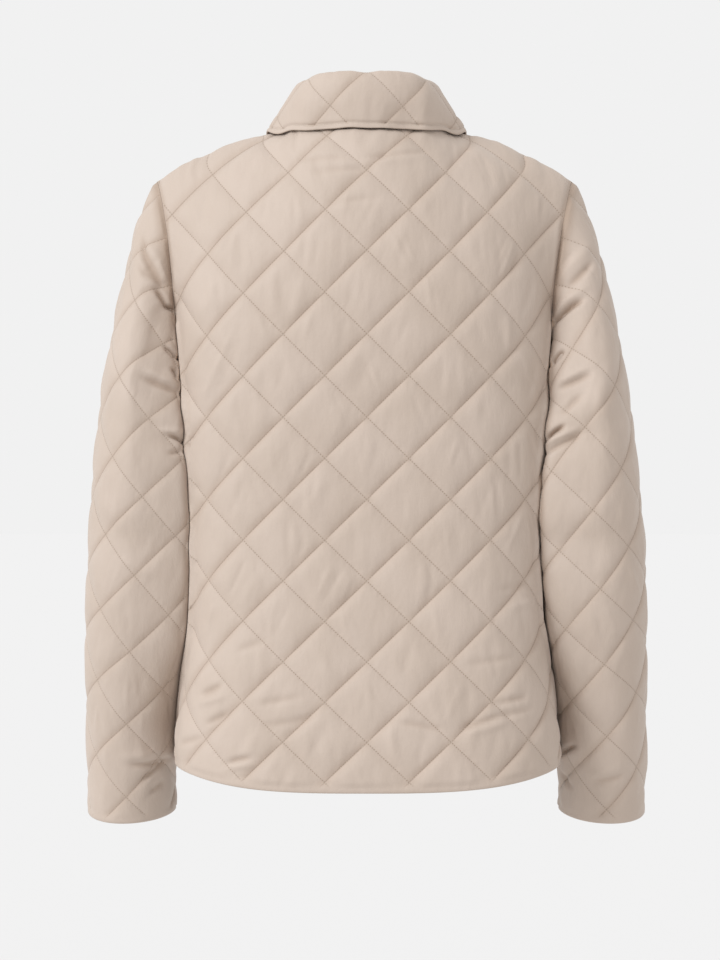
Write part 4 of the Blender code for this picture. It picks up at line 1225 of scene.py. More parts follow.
def places_on(cloth, found, wanted):
    """The outer face's points, outward directions and room at the wanted quilting coordinates."""
    tree, faces, flat = found
    hits, kept = [], []
    for index, (first, second) in enumerate(wanted):
        spot, _, face, away = tree.find_nearest(Vector((first, second, 0)), STITCH_SEARCH)
        if spot is not None and away < STITCH_MISS:
            hits.append((face, spot.x, spot.y))
            kept.append(index)
    if not hits:
        return np.zeros(0, int), None, None, None
    face = faces[[hit[0] for hit in hits]]
    spot = np.array([hit[1:] for hit in hits])
    a, b, c = (flat[face[:, k], :2] for k in range(3))
    area = cross_2d(b - a, c - a)
    area = np.where(abs(area) < 1e-12, 1e-12, area)
    weight_b = cross_2d(spot - a, c - a) / area
    weight_c = cross_2d(b - a, spot - a) / area
    weights = np.clip(np.stack([1 - weight_b - weight_c, weight_b, weight_c], axis=1), 0, 1)

    def read(values):
        values = values.reshape(len(flat), -1)
        return (values[face] * weights[..., None]).sum(axis=1)

    return np.array(kept), read(cloth.outer), unit(read(cloth.directions)), read(cloth.fade)[:, 0]


def cross_2d(a, b):
    """The cross product of pairs of flat vectors."""
    return a[:, 0] * b[:, 1] - a[:, 1] * b[:, 0]


def quilting_stitches(cloth):
    """Both ends and the outward direction of each stitch along both families of lines."""
    found = surface_tree(cloth)
    step, reach = STITCH_PITCH / LINE_SPACING, STITCH_LENGTH / LINE_SPACING
    runs = []
    for family in (0, 1):
        along, other = (cloth.second, cloth.first) if family == 0 else (cloth.first, cloth.second)
        lines = np.arange(math.ceil(other.min()), math.floor(other.max()) + 1)
        places = np.arange(math.ceil(along.min() / step), math.floor(along.max() / step)) * step
        line, place = (values.ravel() for values in np.meshgrid(lines, places, indexing="ij"))
        pair = [np.stack([line, place + part], axis=-1)[:, :: 1 - 2 * family] for part in (0, reach)]
        kept, points, directions, fade = places_on(cloth, found, pair[0])
        kept_end, points_end, _, fade_end = places_on(cloth, found, pair[1])
        _, here, there = np.intersect1d(kept, kept_end, return_indices=True)
        shown = (fade[here] > STITCH_FADE) & (fade_end[there] > STITCH_FADE)
        runs.append((points[here][shown], points_end[there][shown], directions[here][shown]))
    return joined_runs(runs)


def joined_runs(runs):
    """Runs of stitches as one: all the starts, all the ends and all the outward directions."""
    return [np.concatenate(parts) for parts in zip(*runs)]


def line_stitches(points, directions):
    """Stitches along a row of points."""
    way = running(np.linalg.norm(np.diff(points, axis=0), axis=1))
    places = np.arange(STITCH_END_GAP, way[-1] - STITCH_END_GAP, STITCH_PITCH)
    ends = read_at(places + STITCH_LENGTH, way, points)
    return read_at(places, way, points), ends, unit(read_at(places, way, directions))


def buttonhole_stitches(cloth, places):
    """The stitches beside each buttonhole's slit and across its ends, laid on the puffed front."""
    tree = panels_tree([cloth], "outer")
    inner, outer = BUTTONHOLE["slit"] / 2, BUTTONHOLE["slit"] / 2 + BUTTONHOLE["stitch"]
    runs = np.arange(BUTTONHOLE["starts"], BUTTONHOLE["ends"], BUTTONHOLE["pitch"])
    stitches = []
    for place, normal in places:
        along = unit(np.cross(normal, UP))
        up = np.cross(along, normal)
        for index, run in enumerate(runs):
            tack = min(index, len(runs) - 1 - index) < BUTTONHOLE["tacks"]
            spans = [(-outer, outer)] if tack else [(-inner, -outer), (inner, outer)]
            for span in spans:
                spots = [tree.find_nearest(Vector(place + along * run + up * height)) for height in span]
                stitches.append((spots[0][0], spots[1][0], spots[0][1]))
    return [np.array(parts) for parts in zip(*stitches)]


def add_stitches(name, starts, ends, outs, material):
    """One mesh of thin threads, each a square rod with tapered ends that dips into the cloth."""
    side = unit(np.cross(ends - starts, outs)) * STITCH_WIDTH / 2
    points = [starts - outs * STITCH_SINK]
    for part in STITCH_TAPERS:
        centre = starts + (ends - starts) * part
        points += [centre + side, centre + outs * STITCH_HEIGHT, centre - side, centre - outs * STITCH_SINK]
    points.append(ends - outs * STITCH_SINK)
    points = np.stack(points, axis=1)
    tip = points.shape[1] - 1
    ring = [(1 + k, 1 + (k + 1) % 4) for k in range(4)]
    faces = [(0, b, a) for a, b in ring]
    faces += [(a, b, b + 4) for a, b in ring] + [(a, b + 4, a + 4) for a, b in ring]
    faces += [(tip, a + 4, b + 4) for a, b in ring]
    faces = np.array(faces)[None] + points.shape[1] * np.arange(len(starts))[:, None, None]
    made = add_mesh(name, points.reshape(-1, 3), faces.reshape(-1, 3), material)
    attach(made, "root")
    return made


# The collar: a stand that rises from the neckline, a roll, and a fall that lies over the shoulders.


def neckline(cloths):
    """The neck seam from the left front's middle, round the back, to the right front's middle.

    Gives the middle of the panels' edge, their outward directions, and the directions up out of the seam.
    """
    back, left, right = (cloths[name] for name in ("back", "front_left", "front_right"))
    front = slice(SHOULDER_CELLS, -LAP_CELLS)
    inner = slice(SHOULDER_CELLS + 1, -SHOULDER_CELLS - 1)

    def joined(of):
        return np.concatenate([of(left)[-1, front][::-1], of(back)[-1, inner], of(right)[-1, front]])

    outside = joined(lambda cloth: cloth.directions)
    points = joined(lambda cloth: cloth.grid) - outside * (WALL / 2)
    inside = joined(lambda cloth: cloth.grid - np.roll(cloth.grid, 1, axis=0))
    up = unit(np.cross(unit(np.gradient(points, axis=0)), outside))
    up = up * np.sign((up * inside).sum(axis=-1, keepdims=True))
    soften(up, NECK_SMOOTHING, directions=True)
    soften(points, NECK_SMOOTHING)
    return halved(points), unit(halved(outside)), unit(halved(up))


def halved(values):
    """The values with one more between each two."""
    whole = np.arange(len(values))
    at = np.arange(2 * len(values) - 1) / 2
    return read_at(at, whole, values.reshape(len(values), -1)).reshape(len(at), *values.shape[1:])


def collar_shares():
    """Where each neckline point lies: 2 at the middle of the front, 1 at the side, 0 at the back."""
    front = front_shares()[SHOULDER_CELLS:-LAP_CELLS]
    start = FRONT_NECK["shoulder_share"]
    back = 1 - np.linspace(0, 1, BACK_NECK_CELLS + 1)[1:]
    half = np.concatenate([1 + (front[::-1] - start) / (1 - start), back])
    return halved(np.concatenate([half, half[-2::-1]]))


def collar_line(part, shares):
    """The roll line or the edge line at these shares, on the left side."""
    at = column(COLLAR_COLUMNS, COLLAR_ROWS, "share")
    lines = []
    for axis in "xyz":
        values = column(COLLAR_COLUMNS, COLLAR_ROWS, f"{part}_{axis}")
        mirror = -1 if axis == "x" else 1
        both = np.concatenate([mirror * values[:0:-1], values])
        lines.append(through(np.concatenate([-at[:0:-1], at]), both, shares))
    return np.stack(lines, axis=-1)


def collar_profile(seam, up):
    """The middle of the collar's wall at a few places from the neck seam to the fall's edge."""
    shares = collar_shares()
    mirror = np.where(np.arange(len(shares)) <= len(shares) // 2, 1.0, -1.0)[:, None]
    side = np.concatenate([mirror, np.ones_like(mirror), np.ones_like(mirror)], axis=1)
    roll, edge = collar_line("roll", shares) * side, collar_line("edge", shares) * side
    seam = seam + up * COLLAR_SEAM_GAP
    away = unit((edge - roll) * (1 - UP))
    soften(away, NECK_SMOOTHING, directions=True)
    top = roll - UP * WALL / 2
    bend = seam + up * COLLAR_BEND_IN + UP * COLLAR_BEND_UP
    rows = [seam, bend, bend + (top - bend) * 0.5]
    centre = top + away * COLLAR_ROLL_RADIUS - UP * COLLAR_ROLL_RADIUS
    for angle in np.linspace(math.pi, math.pi - COLLAR_ROLL_ANGLE, COLLAR_ROLL_PARTS + 1):
        upright = UP * COLLAR_ROLL_RADIUS * math.sin(angle)
        rows.append(centre + away * COLLAR_ROLL_RADIUS * math.cos(angle) + upright)
    last = rows[-1]
    for part in COLLAR_FALL_PARTS:
        rows.append(last + (edge - last) * part + away * COLLAR_FALL_CROWN * math.sin(math.pi * part))
    return np.stack(rows)


def collar_rows(profile):
    """The profile as a fine grid, with close rows beside the fall's edge for its stitching."""
    places = np.arange(len(profile), dtype=float)
    fine = np.linspace(0, places[-1], COLLAR_FINE_ROWS)
    blend = np.stack([through(places, unit_row, fine) for unit_row in np.eye(len(places))], axis=1)
    smooth = np.tensordot(blend, profile, 1)
    way = np.cumsum(np.linalg.norm(np.diff(smooth, axis=0, prepend=smooth[:1]), axis=-1), axis=0)
    edge_rows = np.array(COLLAR_EDGE_ROWS)[::-1]
    grid = np.zeros((COLLAR_CELLS + 1, profile.shape[1], 3))
    for col in range(profile.shape[1]):
        length = way[-1, col]
        even = np.linspace(0, length - edge_rows[0], COLLAR_CELLS + 2 - len(edge_rows))[:-1]
        at = np.concatenate([even, length - edge_rows])
        grid[:, col] = read_at(at, way[:, col], smooth[:, col])
    return grid


def eased(points, tree, clearance, drops):
    """The move that turns the fall down until the highest puffs near each place hold its edge."""
    parts = between(np.linspace(0, 1, len(points)), drops["from"], 1)
    rows = np.flatnonzero(parts > drops["feels_from"])[:: -drops["row_step"]]
    gaps = []
    for row in rows:
        found = [tree.find_nearest(Vector(point)) for point in points[row]]
        normals = np.array([hit[1] for hit in found])
        gap = ((points[row] - np.array([hit[0] for hit in found])) * normals).sum(axis=-1)
        gaps.append((gap - clearance[row]) / parts[row])
        if row == rows[0]:
            edge_normals = normals
    reach = drops["columns"]
    wide = np.pad(np.min(gaps, axis=0), reach, mode="edge")
    held = np.min([wide[k : k + points.shape[1]] for k in range(2 * reach + 1)], axis=0)
    soften(held, drops["evening"])
    soften(edge_normals, drops["evening"])
    edge_normals = unit(edge_normals)
    level = edge_normals.copy()
    level[:, 2] *= smooth_step((level[:, 2] - COLLAR_UPRIGHT["from"]) / COLLAR_UPRIGHT["over"])
    level = unit(level)
    held = held / (level * edge_normals).sum(axis=-1)
    return -parts[:, None, None] * (held[:, None] * level)[None] * drops["share"]


def settled(points, tree):
    """The fall's rows laid on the cloth below and clear of it, with each push spread to its neighbours."""
    from_edge = distance_from(points, "last")[:, points.shape[1] // 2]
    off = COLLAR_STANDS_OFF
    clearance = off["edge"] + (off["puffed"] - off["edge"]) * smooth_step(from_edge / off["rises_over"])
    moved = points.copy()
    for row in COLLAR_DROPS:
        drops = dict(zip(COLLAR_DROP_COLUMNS, row))
        for _ in range(drops["passes"]):
            moved = moved + eased(moved, tree, clearance, drops)
    for _ in range(SETTLING_PASSES):
        push = np.zeros_like(moved)
        for index in np.ndindex(moved.shape[:-1]):
            point = Vector(moved[index])
            place, normal, _, _ = tree.find_nearest(point)
            short = clearance[index[0]] - (point - place).dot(normal)
            if short > 0:
                push[index] = np.array(normal) * short
        size = np.linalg.norm(push, axis=-1, keepdims=True)
        for _ in range(SETTLING_SPREAD):
            wide = np.pad(push, ((1, 1), (1, 1), (0, 0)), mode="edge")
            push = np.where(size > 0, push, neighbours(wide) / 4)
        moved += push
        soften(np.swapaxes(moved, 0, 1), 1)
    return moved


def panels_tree(cloths, name):
    """Finds places on the named grids of the panels. The normals of their outer faces are outwards."""
    points, faces = [], []
    for cloth in cloths:
        grid = getattr(cloth, name)
        quads = np.stack(cell_corners(len(points) + numbered(grid)), axis=-1).reshape(-1, 4)
        points += [Vector(point) for point in grid.reshape(-1, 3)]
        faces += (quads[:, ::-1] if cloth.flip and name == "outer" else quads).tolist()
    return BVHTree.FromPolygons(points, faces)


def make_collar(cloths):
    """The collar on the neck seam, laid flat and marked for quilting."""
    seam, outside, up = neckline(cloths)
    middle = collar_rows(collar_profile(seam, up))
    fall = int(COLLAR_FALL_FROM * COLLAR_CELLS)
    body = [cloth for cloth in cloths.values() if not cloth.closed]
    middle[fall:] = settled(middle[fall:], panels_tree(body, "outer"))
    shown = -outward(middle, closed=False, flip=False)
    if (shown[0] * outside).sum() > 0:
        shown = -shown
    for _ in range(COLLAR_NORMAL_PASSES):
        shown[1:-1, 1:-1] = unit(neighbours(shown))
    shown[0] = -outside
    grid = middle + shown * WALL / 2
    collar = Cloth("collar", grid, sewn=("first",), free=("end", "last", "start"))
    collar.normals = collar.directions = shown
    centre = grid.shape[1] // 2
    collar.x, collar.y = rolled_out(grid, shown, int(COLLAR_PATTERN_ROW * COLLAR_CELLS), centre)
    low = np.argmax(grid[:, centre, 2])
    level = np.interp(-COLLAR_CROSSING_Z, -grid[low:, centre, 2], collar.y[low:, centre])
    across = collar.x / QUILT_COLLAR["across"] + 0.5
    collar.quilt(across, (collar.y - level) / QUILT_COLLAR["down"])
    collar.edge_from, collar.edge_to = COLLAR_EDGE_PLAIN
    return collar


# The buttons.


def button_shape():
    """A turned disc with a raised rim and four holes."""
    profile = [
        (BUTTON_RADIUS * out, BUTTON_THICKNESS * up - BUTTON_DISH * down) for out, up, down in BUTTON_PROFILE
    ]
    rings = profile[1:-1]
    points = [(0.0, 0.0, profile[0][1])]
    for radius, height in rings:
        for step in range(BUTTON_SIDES):
            angle = 2 * math.pi * step / BUTTON_SIDES
            points.append((radius * math.cos(angle), radius * math.sin(angle), height))
    points.append((0.0, 0.0, profile[-1][1]))
    faces = []
    for step in range(BUTTON_SIDES):
        after = (step + 1) % BUTTON_SIDES
        faces.append([0, 1 + after, 1 + step])
        for ring in range(len(rings) - 1):
            low, high = 1 + ring * BUTTON_SIDES, 1 + (ring + 1) * BUTTON_SIDES
            faces.append([low + step, low + after, high + after, high + step])
        high = 1 + (len(rings) - 1) * BUTTON_SIDES
        faces.append([high + step, high + after, len(points) - 1])
    mesh = bpy.data.meshes.new("button_form")
    mesh.from_pydata(points, [], faces)
    form = add_object("button_form", mesh)
    for x, y in BUTTON_HOLES:
        bpy.ops.mesh.primitive_cylinder_add(
            vertices=BUTTON_HOLE_SIDES,
            radius=BUTTON_HOLE_RADIUS,
            depth=BUTTON_DRILL_LENGTH,
            location=(x, y, 0),
        )
        drill = bpy.context.object
        cut = form.modifiers.new("hole", "BOOLEAN")
        cut.object = drill
        cut.solver = "EXACT"
        bpy.context.view_layer.objects.active = form
        bpy.ops.object.modifier_apply(modifier=cut.name)
        bpy.data.objects.remove(drill, do_unlink=True)
    finished = form.data
    bpy.data.objects.remove(form, do_unlink=True)
    return finished


def add_button(number, mesh, place, normal, plastic, thread):
    """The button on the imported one's place, sewn on through its four holes."""
    turn = Vector(UP).rotation_difference(Vector(normal)).to_matrix().to_4x4()
    stand = Matrix.Translation(Vector(place) + Vector(normal) * BUTTON_GAP) @ turn
    made = add_object(f"button_{number}_shape", mesh.copy())
    made.data.materials.clear()
    made.data.materials.append(plastic)
    made.data.shade_smooth()
    made.data.set_sharp_from_angle(angle=SHARP_ANGLE)
    made.matrix_world = stand
    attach(made, "root")
    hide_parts(f"button_{number}")
    add_button_thread(number, stand, thread)


def add_button_thread(number, stand, thread):
    """Two crossed bars of thread over the button's face, and their ends down through the holes."""
    points, faces = [], []
    face = BUTTON_THICKNESS - BUTTON_DISH
    for ends, lift in THREAD_BARS:
        (ax, ay), (bx, by) = (BUTTON_HOLES[end] for end in ends)
        along = np.array((bx - ax, by - ay))
        beside = np.array((-along[1], along[0])) / np.linalg.norm(along)
        top = face + THREAD_RADIUS * lift
        heights = (-THREAD_DEPTHS["tail"], face - THREAD_DEPTHS["hole"], top)
        path = [(ax, ay, height) for height in heights]
        path += [((ax + bx) / 2, (ay + by) / 2, top + THREAD_RADIUS * THREAD_CROWN)]
        path += [(bx, by, height) for height in heights[::-1]]
        for strand in THREAD_STRANDS:
            moved = np.array(path)
            moved[:, :2] += beside * strand * THREAD_RADIUS * np.array(THREAD_SPREAD)[:, None]
            add_tube(points, faces, moved, THREAD_RADIUS, THREAD_SIDES)
    made = add_mesh(f"button_{number}_thread", np.array(points), np.array(faces), thread)
    made.matrix_world = stand
    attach(made, "root")


def add_tube(points, faces, path, radius, sides):
    """A closed tube along a path."""
    start = len(points)
    along = unit(np.gradient(path, axis=0))
    across = unit(np.cross(along, THREAD_ASIDE))
    upright = np.cross(along, across)
    for place, first, second in zip(path, across, upright):
        for side in range(sides):
            angle = 2 * math.pi * side / sides
            points.append(place + radius * (first * math.cos(angle) + second * math.sin(angle)))
    for ring in range(len(path) - 1):
        for side in range(sides):
            a, b = start + ring * sides + side, start + ring * sides + (side + 1) % sides
            faces.extend([(a, b, b + sides), (a, b + sides, a + sides)])
    last = start + (len(path) - 1) * sides
    for side in range(1, sides - 1):
        faces.append((start, start + side + 1, start + side))
        faces.append((last, last + side, last + side + 1))


def button_places(cloth):
    """The point and the outward direction of each button, on the middle line of the lapped front."""
    middle = cloth.plain.shape[1] - 1 - LAP_CELLS
    levels = body_levels()
    places = read_at(BUTTON_LEVELS, levels, cloth.plain[:, middle])
    return list(zip(places, unit(read_at(BUTTON_LEVELS, levels, cloth.plain_out[:, middle]))))


# Materials.


class Looks:
    """A material, with short ways to add and join its nodes."""

    def __init__(self, name, finish):
        self.material = bpy.data.materials.new(name)
        self.material.use_nodes = True
        self.tree = self.material.node_tree
        self.shader = self.tree.nodes["Principled BSDF"]
        for socket, value in finish.items():
            self.shader.inputs[socket].default_value = value

    def add(self, kind, inputs=None, **settings):
        """A new node. An input is a plain value or another node's output."""
        made = self.tree.nodes.new(kind)
        for name, value in settings.items():
            setattr(made, name, value)
        for name, value in (inputs or {}).items():
            self.put(value, made.inputs[name])
        return made

    def put(self, value, socket):
        if isinstance(value, bpy.types.NodeSocket):
            self.tree.links.new(value, socket)
        else:
            socket.default_value = value

    def math(self, operation, *values):
        made = self.add("ShaderNodeMath", operation=operation)
        for index, value in enumerate(values):
            self.put(value, made.inputs[index])
        return made.outputs[0]

    def times(self, first, second):
        return self.math("MULTIPLY", first, second)

    def ramp(self, value, start, end, low=0.0, high=1.0):
        """low below start, high above end, and smooth between."""
        inputs = {"Value": value, "From Min": start, "From Max": end, "To Min": low, "To Max": high}
        return self.add("ShaderNodeMapRange", inputs, interpolation_type="SMOOTHSTEP").outputs["Result"]

    def parts(self, vector):
        return self.add("ShaderNodeSeparateXYZ", {"Vector": vector}).outputs

    def vector(self, x, y, z=0.0):
        return self.add("ShaderNodeCombineXYZ", {"X": x, "Y": y, "Z": z}).outputs["Vector"]

    def noise(self, vector, scale, detail=2.0):
        inputs = {"Vector": vector, "Scale": scale, "Detail": detail}
        return self.add("ShaderNodeTexNoise", inputs).outputs["Fac"]

    def mix(self, part, first, second):
        made = self.add("ShaderNodeMix", data_type="RGBA")
        for index, value in ((0, part), (6, first), (7, second)):
            self.put(value, made.inputs[index])
        return made.outputs[2]

    def total(self, first, *others):
        for value in others:
            first = self.math("ADD", first, value)
        return first

    def finish(self, colour, height_mm, roughness=None):
        """Joins the looks to the shader, with the surface's small heights as a bump."""
        bump = self.add("ShaderNodeBump", {"Height": height_mm, "Distance": 0.001, "Strength": 1.0})
        self.put(colour, self.shader.inputs["Base Color"])
        self.put(bump.outputs["Normal"], self.shader.inputs["Normal"])
        if roughness is not None:
            self.put(roughness, self.shader.inputs["Roughness"])
        return self.material


def cloth_material():
    """Fine smooth cloth with a slight sheen, drawn in along its quilting lines. Its colour carries painted
    shade on and beside the lines, in the stitch holes, in deep folds and beside the groove between sleeve and
    body, and painted light inside that groove.
    """
    looks = Looks("quilted_cloth_look", CLOTH_FINISH)
    quilt = looks.parts(looks.add("ShaderNodeAttribute", attribute_name="quilt").outputs["Vector"])
    flat_vector = looks.add("ShaderNodeAttribute", attribute_name="flat").outputs["Vector"]
    flat = looks.parts(flat_vector)
    first, second, shown = quilt["X"], quilt["Y"], quilt["Z"]
    away = [looks.times(looks.math("PINGPONG", v, 0.5), LINE_SPACING) for v in (first, second)]
    # Painted shade within a millimetre of each quilting line, on one family strongest in dots at the stitch
    # holes.
    falling, rising = (looks.ramp(distance, 0.0, LINE_PAINTED_SHADE["width"], 1.0, 0.0) for distance in away)
    pitch = looks.times(second, LINE_SPACING / STITCH_PITCH)
    pitch = looks.math("FRACT", pitch)
    holes = looks.ramp(pitch, STITCH_HOLE_SHADE["from"], STITCH_HOLE_SHADE["to"], LINE_PAINTED_SHADE["falling"], LINE_PAINTED_SHADE["holes"])
    line_shade_marks = looks.math("MAXIMUM", looks.times(falling, holes), looks.times(rising, LINE_PAINTED_SHADE["rising"]))
    painted_crease_shade = looks.times(line_shade_marks, shown)
    # A band of painted shade beside the rising quilting lines.
    shade = looks.times(looks.ramp(away[1], 0.0, LINE_PAINTED_SHADE["shade_width"], 1.0, 0.0), shown)
    flat_vector = looks.vector(flat["X"], flat["Y"])
    cloudy = looks.noise(flat_vector, CLOUD["scale"], CLOUD["detail"])
    colour = looks.mix(looks.ramp(cloudy, *CLOUD["colours"]), CLOTH_COLOURS["dark"], CLOTH_COLOURS["light"])
    colour = looks.mix(looks.times(shade, LINE_PAINTED_SHADE["shade"]), colour, CLOTH_COLOURS["shade"])
    # Painted shade in deep folds and beside the groove between sleeve and body.
    colour = looks.mix(flat["Z"], colour, CLOTH_COLOURS["fold"])
    # Painted light inside the groove between sleeve and body, where the values are below 0.
    colour = looks.mix(looks.times(flat["Z"], -1.0), colour, CLOTH_COLOURS["painted_light"])
    # Painted shade on the lines and in the stitch holes.
    colour = looks.mix(painted_crease_shade, colour, CLOTH_COLOURS["painted_crease_shade"])
    puckers = []
    for distance, along in ((away[0], second), (away[1], first)):
        run = looks.times(along, LINE_SPACING / PUCKER["period"])
        side = looks.times(distance, 1 / PUCKER["length"])
        ripple = looks.math("SUBTRACT", looks.noise(looks.vector(run, side), 1.0, 1.0), 0.5)
        near = looks.times(looks.ramp(distance, 0.0, PUCKER["reach"], 1.0, 0.0), shown)
        puckers.append(looks.times(looks.times(ripple, near), PUCKER["height_mm"]))
    stretched = looks.vector(flat["X"], looks.times(flat["Y"], WRINKLE["stretch"]))
    wrinkles = looks.noise(stretched, WRINKLE["scale"], WRINKLE["detail"])
    wrinkles = looks.times(wrinkles, WRINKLE["height_mm"])
    threads = []
    for axis in ("X", "Y"):
        wave = looks.math("SINE", looks.times(flat[axis], 2 * math.pi / WEAVE["pitch"]))
        threads.append(looks.times(wave, WEAVE["height_mm"]))
    slub = looks.times(looks.noise(flat_vector, WEAVE["slub_scale"]), WEAVE["slub_mm"])
    height = looks.total(*puckers, wrinkles, *threads, slub)
    roughness = looks.ramp(cloudy, *CLOUD["roughness"], *CLOTH_ROUGHNESS)
    return looks.finish(colour, height, roughness)


def thread_material():
    """Twisted thread, a little shinier than the cloth."""
    looks = Looks("thread_look", THREAD_FINISH)
    place = looks.add("ShaderNodeTexCoord").outputs["Object"]
    twist = looks.noise(place, THREAD_NOISE["scale"])
    colour = looks.mix(twist, THREAD_COLOURS["dark"], THREAD_COLOURS["light"])
    return looks.finish(colour, looks.times(twist, THREAD_NOISE["height_mm"]))


def plastic_material():
    """Polyester that looks like horn: soft streaks under a satin polish."""
    looks = Looks("button_plastic_look", PLASTIC_FINISH)
    place = looks.add("ShaderNodeTexCoord").outputs["Object"]
    parts = looks.parts(place)
    stretched = looks.vector(parts["X"], looks.times(parts["Y"], PLASTIC_STREAKS["stretch"]), parts["Z"])
    streak = looks.noise(stretched, PLASTIC_STREAKS["scale"], PLASTIC_STREAKS["detail"])
    part = looks.ramp(streak, *PLASTIC_STREAKS["colours"])
    colour = looks.mix(part, PLASTIC_COLOURS["dark"], PLASTIC_COLOURS["light"])
    grain = looks.times(looks.noise(place, PLASTIC_GRAIN["scale"]), PLASTIC_GRAIN["height_mm"])
    return looks.finish(colour, grain, looks.ramp(streak, *PLASTIC_POLISH, *PLASTIC_ROUGHNESS))


# The floor, the light and the camera.


def make_stage():
    """The floor, the even sky and the key light."""
    bpy.ops.mesh.primitive_circle_add(
        vertices=FLOOR_SIDES, radius=FLOOR_RADIUS, fill_type="NGON", location=(0, 0, FLOOR_Z)
    )
    floor = bpy.context.object
    floor.name = "floor"
    pale = bpy.data.materials.new("floor_pale")
    pale.use_nodes = True
    shader = pale.node_tree.nodes["Principled BSDF"]
    shader.inputs["Base Color"].default_value = FLOOR_COLOUR
    shader.inputs["Roughness"].default_value = 1.0
    shader.inputs["Specular IOR Level"].default_value = 0.0
    floor.data.materials.append(pale)
    world = bpy.data.worlds.new("studio")
    world.use_nodes = True
    background = world.node_tree.nodes["Background"]
    background.inputs["Color"].default_value = (BACKGROUND, BACKGROUND, BACKGROUND, 1)
    background.inputs["Strength"].default_value = 1.0
    bpy.context.scene.world = world
    lamp = bpy.data.lights.new("key", "SUN")
    lamp.energy = KEY_LIGHT["energy"]
    lamp.angle = math.radians(KEY_LIGHT["angle_deg"])
    lamp.color = KEY_LIGHT["colour"]
    holder = add_object("key", lamp)
    holder.rotation_euler = (-Vector(KEY_LIGHT["towards"])).to_track_quat("-Z", "Y").to_euler()


def make_camera():
    """The photo's view, from behind at the height of the jacket's middle."""
    data = bpy.data.cameras.new("photo_view")
    data.sensor_fit = "HORIZONTAL"
    data.sensor_width = 36.0
    data.lens = CAMERA_LENS
    data.clip_end = 100.0
    camera = add_object("photo_view", data)
    camera.location = CAMERA_PLACE
    camera.rotation_euler = (math.pi / 2, 0.0, math.pi)
    bpy.context.scene.camera = camera
    bpy.context.scene.view_settings.view_transform = "Standard"


# The whole jacket.


def lapped(grid, normals):
    """The front that lies on top: moved out past the place where it starts to cover the other one."""
    covered = between(from_middle(), LAP_RISES_FROM, LAP_FULL_FROM)
    return grid + normals * ((WALL + LAP_GAP) * covered)[None, :, None]


def from_middle():
    """How far each column of a front is from the middle line, negative past it."""
    return (1 - front_shares()) * FRONT_ARC


def sleeve_grid():
    """The left sleeve with its large folds."""
    turns, runs = np.linspace(0, 1, 2 * ARMHOLE_CELLS + 1), np.linspace(0, 1, SLEEVE_CELLS + 1)
    grid = sleeve_point(turns[None, :], runs[:, None])
    turn, run = np.meshgrid(turns, runs)
    folds = fold_height(turn, run) * smooth_step(run / FOLDS_START_RUN)
    return grid + outward(grid, closed=True, flip=False) * folds[..., None]


def evened(grid):
    """The grid with the kink below the end of the shoulder seam smoothed out."""
    rises, full, falls, ends = NECK_EVENING["levels"]
    levels = body_levels()[:, None, None]
    part = between(levels, rises, full) * between(levels, ends, falls)
    smooth = grid.copy()
    for _ in range(NECK_EVENING["passes"]):
        smooth[:, 1:-1] += ((smooth[:, :-2] + smooth[:, 2:]) / 2 - smooth[:, 1:-1]) * part / 2
    from_edge = np.minimum(np.arange(grid.shape[1]), np.arange(grid.shape[1])[::-1])
    inside = smooth_step(from_edge / NECK_EVENING["edge_columns"])[None, :, None]
    return grid + (smooth - grid) * inside


def outline_shift(grid):
    """How far each point moves outward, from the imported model's outline to the photo's."""
    x, z = abs(grid[..., 0]), grid[..., 2]
    heights = column(OUTLINE_COLUMNS, OUTLINE_ROWS, "height")

    def read(name):
        sides = [column(OUTLINE_COLUMNS, OUTLINE_ROWS, f"{side}_{name}") for side in ("left", "right")]
        return np.where(grid[..., 0] > 0, *(through(heights, moves, z) for moves in sides))

    at_seam = between(x, OUTLINE_REACH["starts"], OUTLINE_REACH["seam"])
    at_outer = between(x, OUTLINE_REACH["leaves"], OUTLINE_REACH["outer"])
    return at_seam * (read("seam") * (1 - at_outer) + read("outer") * at_outer)


def outlined(grid):
    """The grid, moved to the photo's outline."""
    moved = grid.copy()
    moved[..., 0] += np.sign(grid[..., 0]) * outline_shift(grid)
    return moved


def make_cloths():
    """The back, the fronts and the sleeves, laid flat and marked for quilting."""
    levels = body_levels()[:, None]
    back = evened(body_point("back", back_shares()[None], levels))
    front = body_point("front", front_shares()[None], levels)
    over = lapped(front * MIRROR, outward(front, closed=False, flip=True) * MIRROR)
    sleeve = sleeve_grid()
    body = [
        Cloth("back", outlined(back), ("start", "end", "last"), ("first",)),
        Cloth("front_left", outlined(front), ("start", "last"), ("first", "end"), flip=True),
        Cloth("front_right", outlined(over), ("start", "last"), ("first", "end")),
    ]
    sleeves = [
        Cloth(f"sleeve_{side}", outlined(grid), ("first", "start", "end"), ("last",), closed=True, flip=flip)
        for side, grid, flip in (("left", sleeve, False), ("right", sleeve * MIRROR, True))
    ]
    share_seams(body + sleeves)
    limit_contacts(body, sleeves, CONTACT_SHARES["body"])
    limit_contacts(sleeves, body, CONTACT_SHARES["sleeve"])
    for cloth in body:
        lay_body_flat(cloth)
    for cloth in body[1:]:
        cloth.press = np.broadcast_to(smooth_step((PRESS_FROM - from_middle()) / PRESS_RISE), cloth.x.shape)
    body[1].limit[:, from_middle() < UNDERLAP_FROM] = UNDERLAP_LIFT
    for cloth in sleeves:
        lay_sleeve_flat(cloth, outline_shift(sleeve * (MIRROR if cloth.flip else 1))[:, ARMHOLE_CELLS // 2])
    return {cloth.name: cloth for cloth in body + sleeves}


